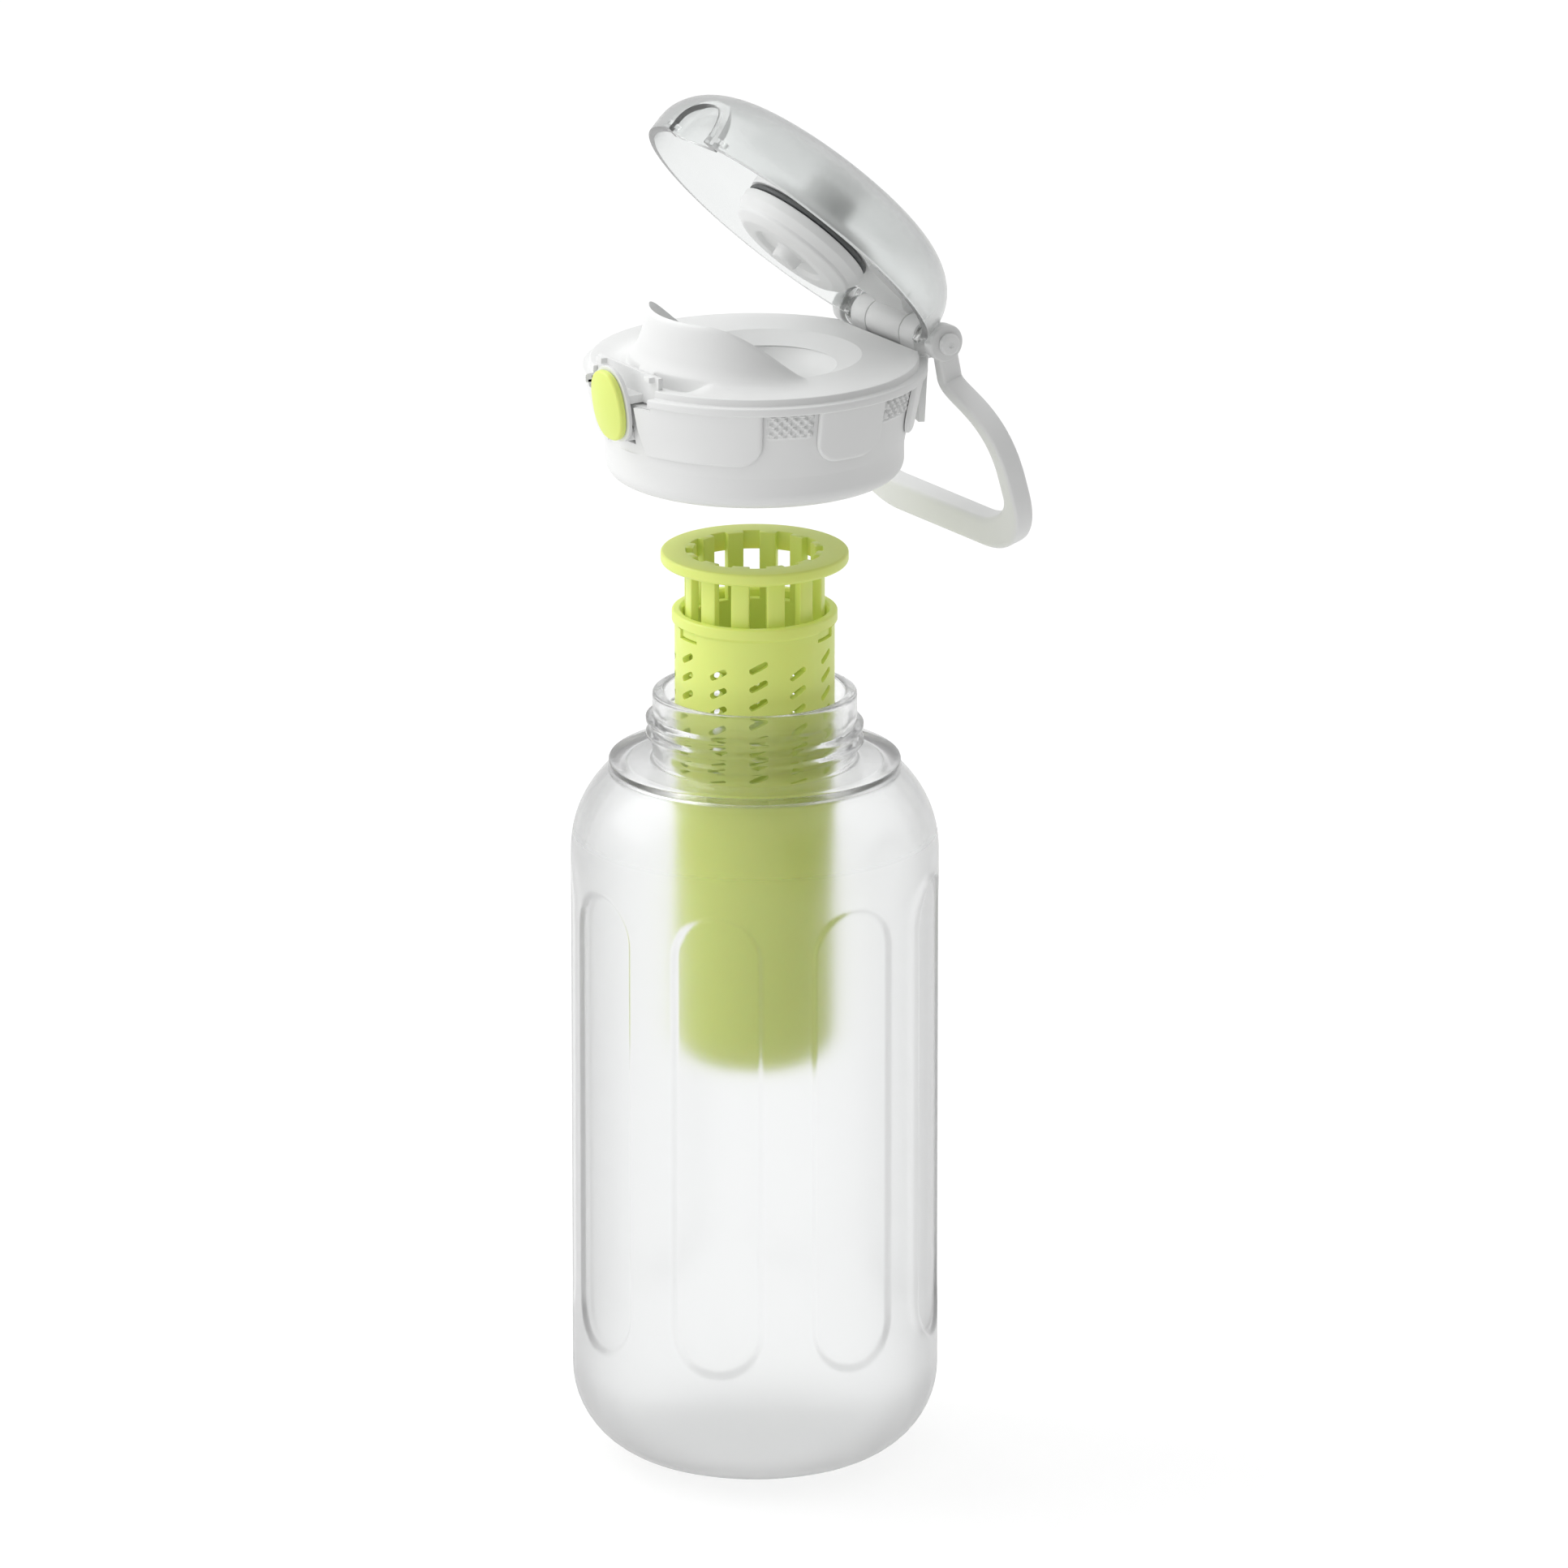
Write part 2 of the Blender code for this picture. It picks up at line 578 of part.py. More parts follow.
def flute_cutter():
    """Eight long scoops with round ends, each a stack of three outlines."""
    points, faces = [], []
    columns = 2 * FLUTE_HALF_STEPS + 1
    middle = FLUTE_LOW + FLUTE_LENGTH / 2.0
    straight = (FLUTE_LENGTH - FLUTE_WIDTH) / 2.0
    layers = (
        (BODY_RADIUS - FLUTE_DEPTH, FLUTE_WIDTH / 2.0 - FLUTE_DRAFT),
        (BODY_RADIUS, FLUTE_WIDTH / 2.0),
        (BODY_RADIUS + OVERRUN, FLUTE_WIDTH / 2.0 + FLUTE_DRAFT),
    )
    for centre in full_turn(FLUTE_COUNT):
        first = len(points)
        for radius, half in layers:
            loop = []
            for k in range(-FLUTE_HALF_STEPS, FLUTE_HALF_STEPS + 1):
                across = half * math.sin(math.pi / 2.0 * k / FLUTE_HALF_STEPS)
                reach = straight + math.sqrt(max(half * half - across * across, 0.0))
                loop.append((centre + across / BODY_RADIUS, reach))
            for side in (-1.0, 1.0):
                for angle, reach in loop:
                    spot = (radius * math.cos(angle), radius * math.sin(angle), middle + side * reach)
                    points.append(Vector(spot))
        around = list(range(columns)) + list(range(2 * columns - 1, columns - 1, -1))
        layer_size = 2 * columns
        for layer in (0, 1):
            low, high = first + layer * layer_size, first + (layer + 1) * layer_size
            for i, a in enumerate(around):
                b = around[(i + 1) % layer_size]
                faces.append((low + a, low + b, high + b, high + a))
        for base in (first, first + 2 * layer_size):
            faces += [
                (base + k, base + k + 1, base + columns + k + 1, base + columns + k)
                for k in range(columns - 1)
            ]
    return solid("flute_cutter", points, faces)


def make_bottle(finish):
    """A blown body: floor, straight fluted wall, sloped shoulder, flat deck and neck."""
    inner_radius = BODY_RADIUS - BODY_WALL
    base_rise = BODY_RADIUS - BASE_FLAT_RADIUS
    inner_rise = inner_radius - BASE_FLAT_RADIUS
    run = BODY_RADIUS - SHOULDER_RADIUS
    top = SHOULDER_START + SHOULDER_HEIGHT
    shoulder = bezier(
        (SHOULDER_RADIUS, top),
        (
            SHOULDER_RADIUS + run * SHOULDER_LEAVE_SHARES[0],
            top - SHOULDER_HEIGHT * SHOULDER_LEAVE_SHARES[1],
        ),
        (BODY_RADIUS, SHOULDER_START + SHOULDER_HEIGHT * SHOULDER_JOIN_SHARE),
        (BODY_RADIUS, SHOULDER_START),
        SHOULDER_STEPS,
    )
    outer = [(NECK_BORE, NECK_TOP - NECK_LIP), (NECK_BORE + NECK_LIP, NECK_TOP)]
    outer += [(NECK_RADIUS - NECK_LIP, NECK_TOP), (NECK_RADIUS, NECK_TOP - NECK_LIP)]
    outer += [(NECK_RADIUS, SHOULDER_FACE), (SHOULDER_RADIUS, SHOULDER_FACE)]
    outer += shoulder
    outer += arc((BASE_FLAT_RADIUS, base_rise), (base_rise, base_rise), 0.0, -90.0, BASE_ARC_STEPS)
    inner_shoulder = inset(shoulder[::-1], BODY_WALL)
    under_deck = SHOULDER_FACE - BODY_WALL
    inner = arc(
        (BASE_FLAT_RADIUS, FLOOR_THICKNESS + inner_rise), (inner_rise, inner_rise), -90.0, 0.0,
        BASE_ARC_STEPS,
    )
    inner += inner_shoulder[:-1]
    inner += [(inner_shoulder[-1][0] - BODY_WALL, under_deck), (NECK_BORE, under_deck)]
    outline = [(0.0, FLOOR_THICKNESS)] + inner + outer + [(0.0, 0.0)]
    bottle = turned("bottle_body", outline, BODY_SEGMENTS, finish)
    cut(bottle, flute_cutter())
    return bottle


def make_infuser(finish, holder):
    """A flanged pouring sleeve that snaps into a slotted tube."""
    r = FLANGE_ROUND
    outline = [(SLEEVE_BORE, FLANGE_THICKNESS - r), (SLEEVE_BORE + r, FLANGE_THICKNESS)]
    outline += [(FLANGE_RADIUS - r, FLANGE_THICKNESS), (FLANGE_RADIUS, FLANGE_THICKNESS - r)]
    outline += [(FLANGE_RADIUS, r), (FLANGE_RADIUS - r, 0.0), (SLEEVE_RADIUS, 0.0)]
    outline += [(SLEEVE_RADIUS, -SLEEVE_LENGTH), (SLEEVE_BORE, -SLEEVE_LENGTH)]
    sleeve = turned("infuser_collar", outline, SLEEVE_SEGMENTS, finish, holder)
    window_middle = -(WINDOW_TOP + WINDOW_HEIGHT / 2.0)
    cut(sleeve, radial_blocks(
        "window_cutter", full_turn(WINDOW_COUNT), SLEEVE_BORE - SLEEVE_WALL, SLEEVE_RADIUS + SLEEVE_WALL,
        WINDOW_WIDTH, WINDOW_HEIGHT, [window_middle] * WINDOW_COUNT, holder,
    ))
    notch_height = FLANGE_THICKNESS + WINDOW_TOP + WINDOW_HEIGHT / 2.0
    notch_middle = FLANGE_THICKNESS + SINK - notch_height / 2.0
    cut(sleeve, radial_blocks(
        "notch_cutter", full_turn(WINDOW_COUNT), SLEEVE_BORE - SLEEVE_WALL, SLEEVE_RADIUS - SINK,
        FLANGE_NOTCH_WIDTH, notch_height + 2.0 * SINK, [notch_middle] * WINDOW_COUNT, holder,
    ))
    snaps = [angle - math.pi / 2.0 for angle in full_turn(SNAP_COUNT)]
    snap_middle = TUBE_TOP - SNAP_DROP
    lug_reach = TUBE_RADIUS - SLEEVE_PLAY
    join(sleeve, radial_blocks(
        "snap_lugs", snaps, SLEEVE_RADIUS - SLEEVE_WALL / 2.0, lug_reach,
        SNAP_WIDTH - 2.0 * SNAP_PLAY, SNAP_HEIGHT - 2.0 * SNAP_PLAY, [snap_middle] * SNAP_COUNT, holder,
    ))

    round_radius, inner_round = TUBE_BOTTOM_ROUND, TUBE_BOTTOM_ROUND - TUBE_WALL
    bead_radius = TUBE_RADIUS + TUBE_BEAD
    outline = [(0.0, TUBE_BOTTOM + TUBE_WALL)]
    outline += arc(
        (TUBE_BORE - inner_round, TUBE_BOTTOM + round_radius), (inner_round, inner_round), -90.0, 0.0,
        TUBE_ARC_STEPS,
    )
    outline += [(TUBE_BORE, TUBE_TOP - TUBE_BEAD), (TUBE_BORE + TUBE_BEAD, TUBE_TOP)]
    outline += [(bead_radius - TUBE_BEAD / 2.0, TUBE_TOP), (bead_radius, TUBE_TOP - TUBE_BEAD)]
    bead_low = TUBE_TOP - TUBE_BEAD_HEIGHT
    outline += [(bead_radius, bead_low + TUBE_BEAD), (TUBE_RADIUS, bead_low)]
    outline += arc(
        (TUBE_RADIUS - round_radius, TUBE_BOTTOM + round_radius), (round_radius, round_radius), 0.0, -90.0,
        TUBE_ARC_STEPS,
    )
    outline += [(0.0, TUBE_BOTTOM)]
    tube = turned("infuser_tube", outline, SLEEVE_SEGMENTS, finish, holder)
    wall_low, wall_high = TUBE_BORE - TUBE_WALL / 2.0, TUBE_RADIUS + TUBE_WALL
    angles, middles = [], []
    for column, angle in enumerate(full_turn(SLOT_COLUMN_COUNT)):
        first = TUBE_TOP - SLOT_DROP - (SLOT_PITCH / 2.0 if column % 2 == 0 else 0.0)
        for row in range(SLOT_ROW_COUNT):
            angles.append(angle)
            middles.append(first - row * SLOT_PITCH)
    cut(
        tube,
        radial_blocks(
            "slot_cutter", angles, wall_low, wall_high, SLOT_LENGTH, SLOT_HEIGHT, middles, holder,
            SLOT_SLANT,
        ),
        radial_blocks(
            "snap_cutter", snaps, wall_low, wall_high, SNAP_WIDTH, SNAP_HEIGHT,
            [snap_middle] * SNAP_COUNT, holder,
        ),
    )
    return sleeve, tube


def wall_radius(z):
    """The lid's outer wall: it narrows downwards, then runs straight."""
    down = min(max((-z + COLLAR_TOP) / (WALL_TAPER_END + COLLAR_TOP), 0.0), 1.0)
    return WALL_TOP_RADIUS - (WALL_TOP_RADIUS - WALL_LOW_RADIUS) * down


def tab_bottom(degrees):
    """How far down the cover reaches at an angle: to its tabs' ends, or only to its band."""
    for start, end in TAB_SPANS:
        for turn in (0.0, 360.0):
            inside = min(degrees + turn - start, end - degrees - turn)
            if inside > 0.0:
                left = max(1.0 - math.radians(inside) * WALL_TOP_RADIUS / TAB_CORNER, 0.0)
                return -(TAB_DEPTH - TAB_CORNER * (1.0 - math.sqrt(1.0 - left * left)))
    return -BAND_DEPTH


def cover_angles():
    """Angles of the cover's columns: close together at the tabs' edges and corners."""
    corner = math.degrees(TAB_CORNER / WALL_TOP_RADIUS)
    marks = set()
    for start, end in TAB_SPANS:
        for edge, way in ((start, 1.0), (end, -1.0)):
            marks.add(round((edge - way * TAB_EDGE_ANGLE) % 360.0, 4))
            marks.add(round((edge + way * TAB_EDGE_ANGLE) % 360.0, 4))
            for share in TAB_CORNER_SHARES:
                marks.add(round((edge + way * corner * share) % 360.0, 4))
    marks = sorted(marks)
    filled = []
    for here, after in zip(marks, marks[1:] + [marks[0] + 360.0]):
        parts = max(1, math.ceil((after - here) / COVER_STEP_ANGLE))
        filled += [here + (after - here) * i / parts for i in range(parts)]
    return filled


def lip_at(degrees):
    """The drinking lip's crest at an angle: its radius round the mouth, and its height."""
    turn = abs((degrees + 180.0) % 360.0 - 180.0)
    radius = LIP_RADIUS + LIP_REACH * max(math.cos(math.radians(turn)), 0.0) ** 1.3
    share = min(max((LIP_END_ANGLE - turn) / (LIP_END_ANGLE - LIP_FULL_ANGLE), 0.0), 1.0)
    return radius, LIP_HEIGHT * math.sin(math.pi / 2.0 * share) ** 1.3


def pocket_at(degrees):
    """A dip at the foot of the lip, on both sides of the middle."""
    turn = abs((degrees + 180.0) % 360.0 - 180.0)
    away = min(abs(turn - POCKET_ANGLE) / POCKET_HALF_ANGLE, 1.0)
    return POCKET_DEPTH * math.cos(math.pi / 2.0 * away) ** 0.5 if away < 1.0 else 0.0


def make_cover(finish, holder):
    """The lid's upper shell: mouth, drinking lip, deck, band and the tabs under it."""
    degrees = cover_angles()
    rings = [[] for _ in range(3 + len(BOWL_SHARES) + len(SLOPE_SHARES) + 6 + 2 * len(TAB_ROW_SHARES))]
    throat = THROAT_RADIUS + THROAT_RELIEF
    for angle in degrees:
        turn = math.radians(angle)
        crest, height = lip_at(angle)
        bottom = tab_bottom(angle)

        def at(radius, z, centre=0.0):
            return circle(radius, z, [turn], centre)[0]

        column = [at(throat, -COVER_THICKNESS, MOUTH_OFFSET)]
        column.append(at(throat + (crest - throat) * BOWL_SHARES[0][0] / 3.0, -BOWL_DROP, MOUTH_OFFSET))
        for share, lift in BOWL_SHARES:
            radius = throat + (crest - throat) * share
            column.append(at(radius, lift * height - BOWL_DROP * (1.0 - share) ** 1.5, MOUTH_OFFSET))
        top = at(crest, 0.0, MOUTH_OFFSET)
        edge = at(DECK_RADIUS - DECK_ROUND, 0.0)
        for (share, lift), weight in zip(SLOPE_SHARES, POCKET_WEIGHT_SHARES):
            spot = top.lerp(edge, share)
            spot.z = lift * height - weight * pocket_at(angle)
            column.append(spot)
        column.append(edge)
        column += [at(DECK_RADIUS, -DECK_ROUND), at(DECK_RADIUS, -LEDGE_DROP)]
        column += [at(BAND_RADIUS - BAND_ROUND, -LEDGE_DROP), at(BAND_RADIUS, -LEDGE_DROP - BAND_ROUND)]
        column.append(at(BAND_RADIUS, -BAND_DEPTH + BAND_ROUND))
        start = -BAND_DEPTH + BAND_ROUND / 2.0
        for share in TAB_ROW_SHARES:
            z = start + (bottom - start) * share
            column.append(at(wall_radius(z) + TAB_PROUD, z))
        for share in reversed(TAB_ROW_SHARES):
            z = start + (bottom - start) * share
            column.append(at(wall_radius(z) + FIT, z))
        column.append(at(WALL_TOP_RADIUS + FIT, -COVER_THICKNESS))
        for ring, spot in zip(rings, column):
            ring.append(spot)
    cover = lofted("lid_cover", rings, finish, holder)
    return cover


def make_lid_collar(finish, holder):
    """The lid's lower shell: tapered wall, threaded sleeve and the web that carries the seal."""
    turn = full_turn(LID_SEGMENTS)
    low = -LID_HEIGHT
    taper_end = -WALL_TAPER_END
    round_middle = (WALL_LOW_RADIUS - BOTTOM_ROUND, low + BOTTOM_ROUND)
    groove_share = (GROOVE_OUTER - round_middle[0]) / BOTTOM_ROUND
    groove_angle = math.degrees(math.acos(min(groove_share, 1.0)))
    profile = [(WALL_TOP_RADIUS - DECK_ROUND, COLLAR_TOP), (WALL_TOP_RADIUS, COLLAR_TOP - DECK_ROUND)]
    profile += [(wall_radius(taper_end / 2.0), taper_end / 2.0)]
    profile += [(wall_radius(taper_end), taper_end)]
    profile += arc(round_middle, (BOTTOM_ROUND, BOTTOM_ROUND), 0.0, -groove_angle, 3)
    profile += [(GROOVE_OUTER, low + GROOVE_HEIGHT), (SLEEVE_OUTER, low + GROOVE_HEIGHT)]
    profile += [(SLEEVE_OUTER, low)]
    profile += [(SOCKET_RADIUS + SOCKET_CHAMFER, low), (SOCKET_RADIUS, low + SOCKET_CHAMFER)]
    profile += [(SOCKET_RADIUS, CEILING)]
    rings = [circle(THROAT_RADIUS, COLLAR_TOP, turn, MOUTH_OFFSET)]
    rings += [circle(radius, z, turn) for radius, z in profile]
    rings += [circle(DISH_OUTER, CEILING, turn, MOUTH_OFFSET)]
    rings += [circle(DISH_OUTER, DISH_LOW + DISH_OUTER_CHAMFER, turn, MOUTH_OFFSET)]
    rings += [circle(DISH_OUTER - DISH_OUTER_CHAMFER, DISH_LOW, turn, MOUTH_OFFSET)]
    rings += [circle(DRINK_HOLE_RADIUS, z, turn, DRINK_HOLE_Y) for z in (DISH_LOW, DISH_FLOOR)]
    rings += [circle(DISH_FLOOR_RADIUS, DISH_FLOOR, turn, MOUTH_OFFSET)]
    rings += [circle(DISH_SLOPE_RADIUS, -DISH_SLOPE_DROP, turn, MOUTH_OFFSET)]
    rings += [circle(THROAT_RADIUS, -DISH_WALL_DROP, turn, MOUTH_OFFSET)]
    return lofted("lid_collar", rings, finish, holder)


def bezel_front(z):
    """How far forward the front of the latch's bezel lies at a height."""
    return -(LATCH_FRONT - (LATCH_TOP - z) * LATCH_LEAN)


def cut_lid(cover, collar, holder):
    """Room in both shells for the hinge at the back and for the latch at the front."""
    out = BAND_RADIUS + OVERRUN
    rear_notch = block(
        "rear_notch_cutter",
        (-REAR_NOTCH_HALF, REAR_NOTCH_Y, -REAR_NOTCH_DEPTH), (REAR_NOTCH_HALF, out, OVERRUN), holder,
    )
    bracket_half = (WALL_TOP_RADIUS + BRACKET_GAP + BRACKET_THICKNESS) * math.sin(BRACKET_ANGLE) + FIT
    rear_tab = block(
        "rear_tab_cutter",
        (-bracket_half, REAR_NOTCH_Y - OVERRUN, -TAB_DEPTH - OVERRUN),
        (bracket_half, out, -(REAR_NOTCH_DEPTH + COVER_THICKNESS) / 2.0), holder,
    )
    front_notch = block(
        "front_notch_cutter",
        (-FRONT_NOTCH_HALF, -out, -FRONT_NOTCH_DEPTH), (FRONT_NOTCH_HALF, -FRONT_NOTCH_Y, OVERRUN), holder,
    )
    back = BEZEL_THICKNESS + CHANNEL_PLAY
    channel = prism_x(
        "channel_cutter",
        [
            (-out, -CHANNEL_BOTTOM), (bezel_front(-CHANNEL_BOTTOM) + back, -CHANNEL_BOTTOM),
            (bezel_front(OVERRUN) + back, OVERRUN), (-out, OVERRUN),
        ],
        -CHANNEL_HALF, CHANNEL_HALF, holder,
    )
    cut(cover, rear_notch, rear_tab, front_notch, channel)
    pocket_half = PIVOT_KNUCKLE_HALF + PIVOT_POCKET_PLAY
    pocket_radius = PIVOT_KNUCKLE_RADIUS + PIVOT_POCKET_PLAY
    pocket_outline = [(-out, -PIVOT_DROP - pocket_radius)]
    pocket_outline += arc((-PIVOT_Y, -PIVOT_DROP), (pocket_radius, pocket_radius), -90.0, 90.0, ARCH_STEPS)
    pocket_outline.append((-out, -PIVOT_DROP + pocket_radius))
    pocket = prism_x("pivot_pocket_cutter", pocket_outline, -pocket_half, pocket_half, holder)
    pin_hole = rod_x(
        "pivot_hole_cutter", PIVOT_BORE, -PIVOT_PIN_HALF - FIT, PIVOT_PIN_HALF + FIT,
        -PIVOT_Y, -PIVOT_DROP, holder, PIN_SEGMENTS,
    )
    hole_floor = channel_floor(-LATCH_SPRING_DROP) + LATCH_SPRING_DEPTH
    spring_hole = turned(
        "spring_hole_cutter",
        [(0.0, -out), (LATCH_SPRING_HOLE, -out), (LATCH_SPRING_HOLE, hole_floor), (0.0, hole_floor)],
        PIN_SEGMENTS, None, holder, "Y", (0.0, 0.0, -LATCH_SPRING_DROP),
    )
    cut(collar, rear_notch, front_notch, channel, pocket, pin_hole, spring_hole)


def channel_floor(z):
    return bezel_front(z) + BEZEL_THICKNESS + CHANNEL_PLAY


def make_seal(finish, holder):
    edge = SEAL_EDGE
    top = SEAL_LOW + SEAL_THICKNESS
    outline = [(SEAL_INNER, SEAL_LOW + edge), (SEAL_INNER + edge, SEAL_LOW)]
    outline += [(SEAL_OUTER - edge, SEAL_LOW), (SEAL_OUTER, SEAL_LOW + edge)]
    outline += [(SEAL_OUTER, top - edge), (SEAL_OUTER - edge, top)]
    outline += [(SEAL_INNER + edge, top), (SEAL_INNER, top - edge)]
    return turned("lid_seal", outline, LID_SEGMENTS, finish, holder)


def make_bracket(finish, holder):
    """A curved plate behind the lid that carries two hinge knuckles."""
    inner = WALL_TOP_RADIUS + BRACKET_GAP
    outer = inner + BRACKET_THICKNESS
    first_turn = math.pi - BRACKET_ANGLE
    turns = [first_turn + 2.0 * BRACKET_ANGLE * i / BRACKET_STEPS for i in range(BRACKET_STEPS + 1)]
    rings = []
    for z, reach in ((-BRACKET_DEPTH, outer - BRACKET_TAPER), (-BRACKET_TOP, outer)):
        rings.append(circle(inner, z, turns) + circle(reach, z, turns[::-1]))
    bracket = lofted("hinge_bracket", rings, finish, holder, closed=False)
    web_low = -REAR_NOTCH_DEPTH + HINGE_PLAY
    for side in (-1.0, 1.0):
        name = "left" if side < 0.0 else "right"
        ends = sorted((side * KNUCKLE_START, side * KNUCKLE_END))
        join(
            bracket,
            block(
                "knuckle_web_" + name,
                (ends[0], HINGE_Y - WEB_FRONT, web_low), (ends[1], HINGE_Y + WEB_BACK, HINGE_Z), holder,
            ),
            rod_x("knuckle_" + name, BARREL_RADIUS, ends[0], ends[1], HINGE_Y, HINGE_Z, holder),
        )
        clear = sorted((side * (KNUCKLE_END + HINGE_PLAY / 2.0), side * (EAR_END + OVERRUN)))
        cut(bracket, rod_x(
            "ear_room_cutter_" + name, EAR_RADIUS + HINGE_PLAY, clear[0], clear[1],
            HINGE_Y, HINGE_Z, holder,
        ))
    middle = BARREL_HALF + HINGE_PLAY / 2.0
    cut(
        bracket,
        rod_x("barrel_room_cutter", BARREL_RADIUS + HINGE_PLAY, -middle, middle, HINGE_Y, HINGE_Z, holder),
        rod_x(
            "bracket_bore_cutter", PIN_BORE, -EYE_END, EYE_END, HINGE_Y, HINGE_Z, holder, PIN_SEGMENTS,
        ),
    )
    return bracket


def make_hinge_pins(finish, cap_finish, holder):
    rod_x("hinge_pin", PIN_RADIUS, -EYE_END, EYE_END, HINGE_Y, HINGE_Z, holder, PIN_SEGMENTS, finish)
    for side, name in ((-1.0, "hinge_pin_cap_left"), (1.0, "hinge_pin_cap_right")):
        start = EYE_END + FIT
        end = start + PIN_HEAD_LENGTH
        outline = [(0.0, start), (PIN_HEAD_RADIUS, start), (PIN_HEAD_RADIUS, end - PIN_HEAD_ROUND)]
        outline += [(PIN_HEAD_RADIUS - PIN_HEAD_ROUND, end), (0.0, end)]
        turned(
            name, [(r, side * x) for r, x in outline], PIN_SEGMENTS, cap_finish, holder, "X",
            (0.0, HINGE_Y, HINGE_Z),
        )
    rod_x(
        "latch_pin", PIVOT_PIN_RADIUS, -PIVOT_PIN_HALF, PIVOT_PIN_HALF, -PIVOT_Y, -PIVOT_DROP, holder,
        PIN_SEGMENTS, finish,
    )


def dome(name, shrink, low, holder, finish=None):
    """A shallow dome round the lid's axis, closed by a flat underside."""
    edge = (BAND_RADIUS - CAP_FLAT_RADIUS - shrink, CAP_EDGE_HEIGHT - shrink)
    outline = [(0.0, low), (BAND_RADIUS - shrink, low)]
    outline += arc((CAP_FLAT_RADIUS, CAP_STRAIGHT_TOP), edge, 0.0, 90.0, CAP_ARC_STEPS)
    outline += [
        (CAP_FLAT_RADIUS / 2.0, CAP_STRAIGHT_TOP + edge[1] + CAP_CROWN * CAP_CROWN_SHARES[1]),
        (0.0, CAP_STRAIGHT_TOP + edge[1] + CAP_CROWN),
    ]
    centre = (0.0, -HINGE_Y, -HINGE_Z)
    return turned(name, outline, LID_SEGMENTS, finish, holder, centre=centre)


def arch(name, half, top, back, holder):
    """A round-headed opening in the cap's front, from below its rim to its head."""
    head = top - half
    low = CAP_RIM - 2.0 * OVERRUN
    outline = [(-half, low)] + arc((0.0, head), (half, half), 180.0, 0.0, ARCH_STEPS) + [(half, low)]
    rings = [
        [Vector((x, y - HINGE_Y, z - HINGE_Z)) for x, z in outline] for y in (-BAND_RADIUS - OVERRUN, -back)
    ]
    return lofted(name, rings, parent=holder, closed=False)


def make_cap(finish, holder):
    """The clear flip cap: a dome with a latch arch, two catches and two hinge ears."""
    cap = dome("flip_cap", 0.0, CAP_RIM, holder, finish)
    hollow = dome("cap_hollow_cutter", CAP_WALL, CAP_RIM - OVERRUN, holder)
    cut(hollow, arch(
        "arch_wall_guide", ARCH_HALF + ARCH_WALL, ARCH_TOP + ARCH_WALL, ARCH_FLOOR - ARCH_WALL, holder,
    ))
    cut(cap, arch("arch_cutter", ARCH_HALF, ARCH_TOP, ARCH_FLOOR, holder), hollow)
    cut(cap, block(
        "cap_rear_cutter",
        (-CAP_REAR_HALF, CAP_REAR_Y - HINGE_Y, CAP_RIM - OVERRUN - HINGE_Z),
        (CAP_REAR_HALF, OVERRUN, CAP_REAR_TOP - HINGE_Z), holder,
    ))
    for side, name in ((-1.0, "left"), (1.0, "right")):
        scallop = sorted((side * (EAR_START + EAR_END) / 2.0, side * SCALLOP_END))
        cut(cap, rod_x("scallop_cutter_" + name, SCALLOP_RADIUS, scallop[0], scallop[1], 0.0, 0.0, holder))
        ear = sorted((side * EAR_START, side * EAR_END))
        catch = sorted((side * CATCH_X, side * (CATCH_X + CATCH_WIDTH)))
        join(
            cap,
            rod_x("ear_" + name, EAR_RADIUS, ear[0], ear[1], 0.0, 0.0, holder),
            block(
                "catch_" + name,
                (catch[0], -CATCH_ROOT - HINGE_Y, CATCH_LOW - HINGE_Z),
                (catch[1], -CATCH_REACH - HINGE_Y, CATCH_LOW + CATCH_HEIGHT - HINGE_Z), holder,
            ),
        )
    cut(cap, rod_x("ear_bore_cutter", PIN_BORE, -EYE_END, EYE_END, 0.0, 0.0, holder, PIN_SEGMENTS))
    return cap


def make_carrier(finish, holder):
    """The white arm inside the cap: hinge barrel, arm, disc over the plug, and hub."""
    axis_end = BARREL_HALF - BARREL_END
    outline = [(BARREL_RADIUS, -BARREL_HALF), (BARREL_RADIUS, BARREL_HALF), (PIN_BORE, BARREL_HALF)]
    outline += [(PIN_BORE, axis_end), (BARREL_CAVITY, axis_end), (BARREL_CAVITY, -axis_end)]
    outline += [(PIN_BORE, -axis_end), (PIN_BORE, -BARREL_HALF)]
    carrier = turned("cap_carrier", outline, SMALL_SEGMENTS, finish, holder, "X")
    low, high = CARRIER_LOW - HINGE_Z, CARRIER_LOW + CARRIER_THICKNESS - HINGE_Z
    ceiling = CAP_TOP - CAP_WALL - CAP_CROWN * CAP_CROWN_SHARES[0] - FIT - HINGE_Z
    plan = [
        (ARM_HALF_WIDE, ARM_START), (ARM_HALF_WIDE, ARM_WIDE_END), (ARM_HALF_NARROW, ARM_NARROW_START),
        (ARM_HALF_NARROW, HINGE_Y - BARREL_RADIUS + ARM_BARREL_SINK),
    ]
    plan += [(-x, y) for x, y in reversed(plan)]
    arm = lofted(
        "carrier_arm", [[Vector((x, y - HINGE_Y, z)) for x, y in plan] for z in (low, high)],
        parent=holder, closed=False,
    )
    centre = (0.0, MOUTH_OFFSET - HINGE_Y, 0.0)
    plate = [(0.0, low), (CARRIER_RADIUS, low), (CARRIER_RADIUS, high), (CARRIER_HUB_RADIUS, high)]
    plate += [(CARRIER_HUB_RADIUS, ceiling), (0.0, ceiling)]
    join(carrier, arm, turned("carrier_disc", plate, LID_SEGMENTS // 2, None, holder, centre=centre))
    return carrier


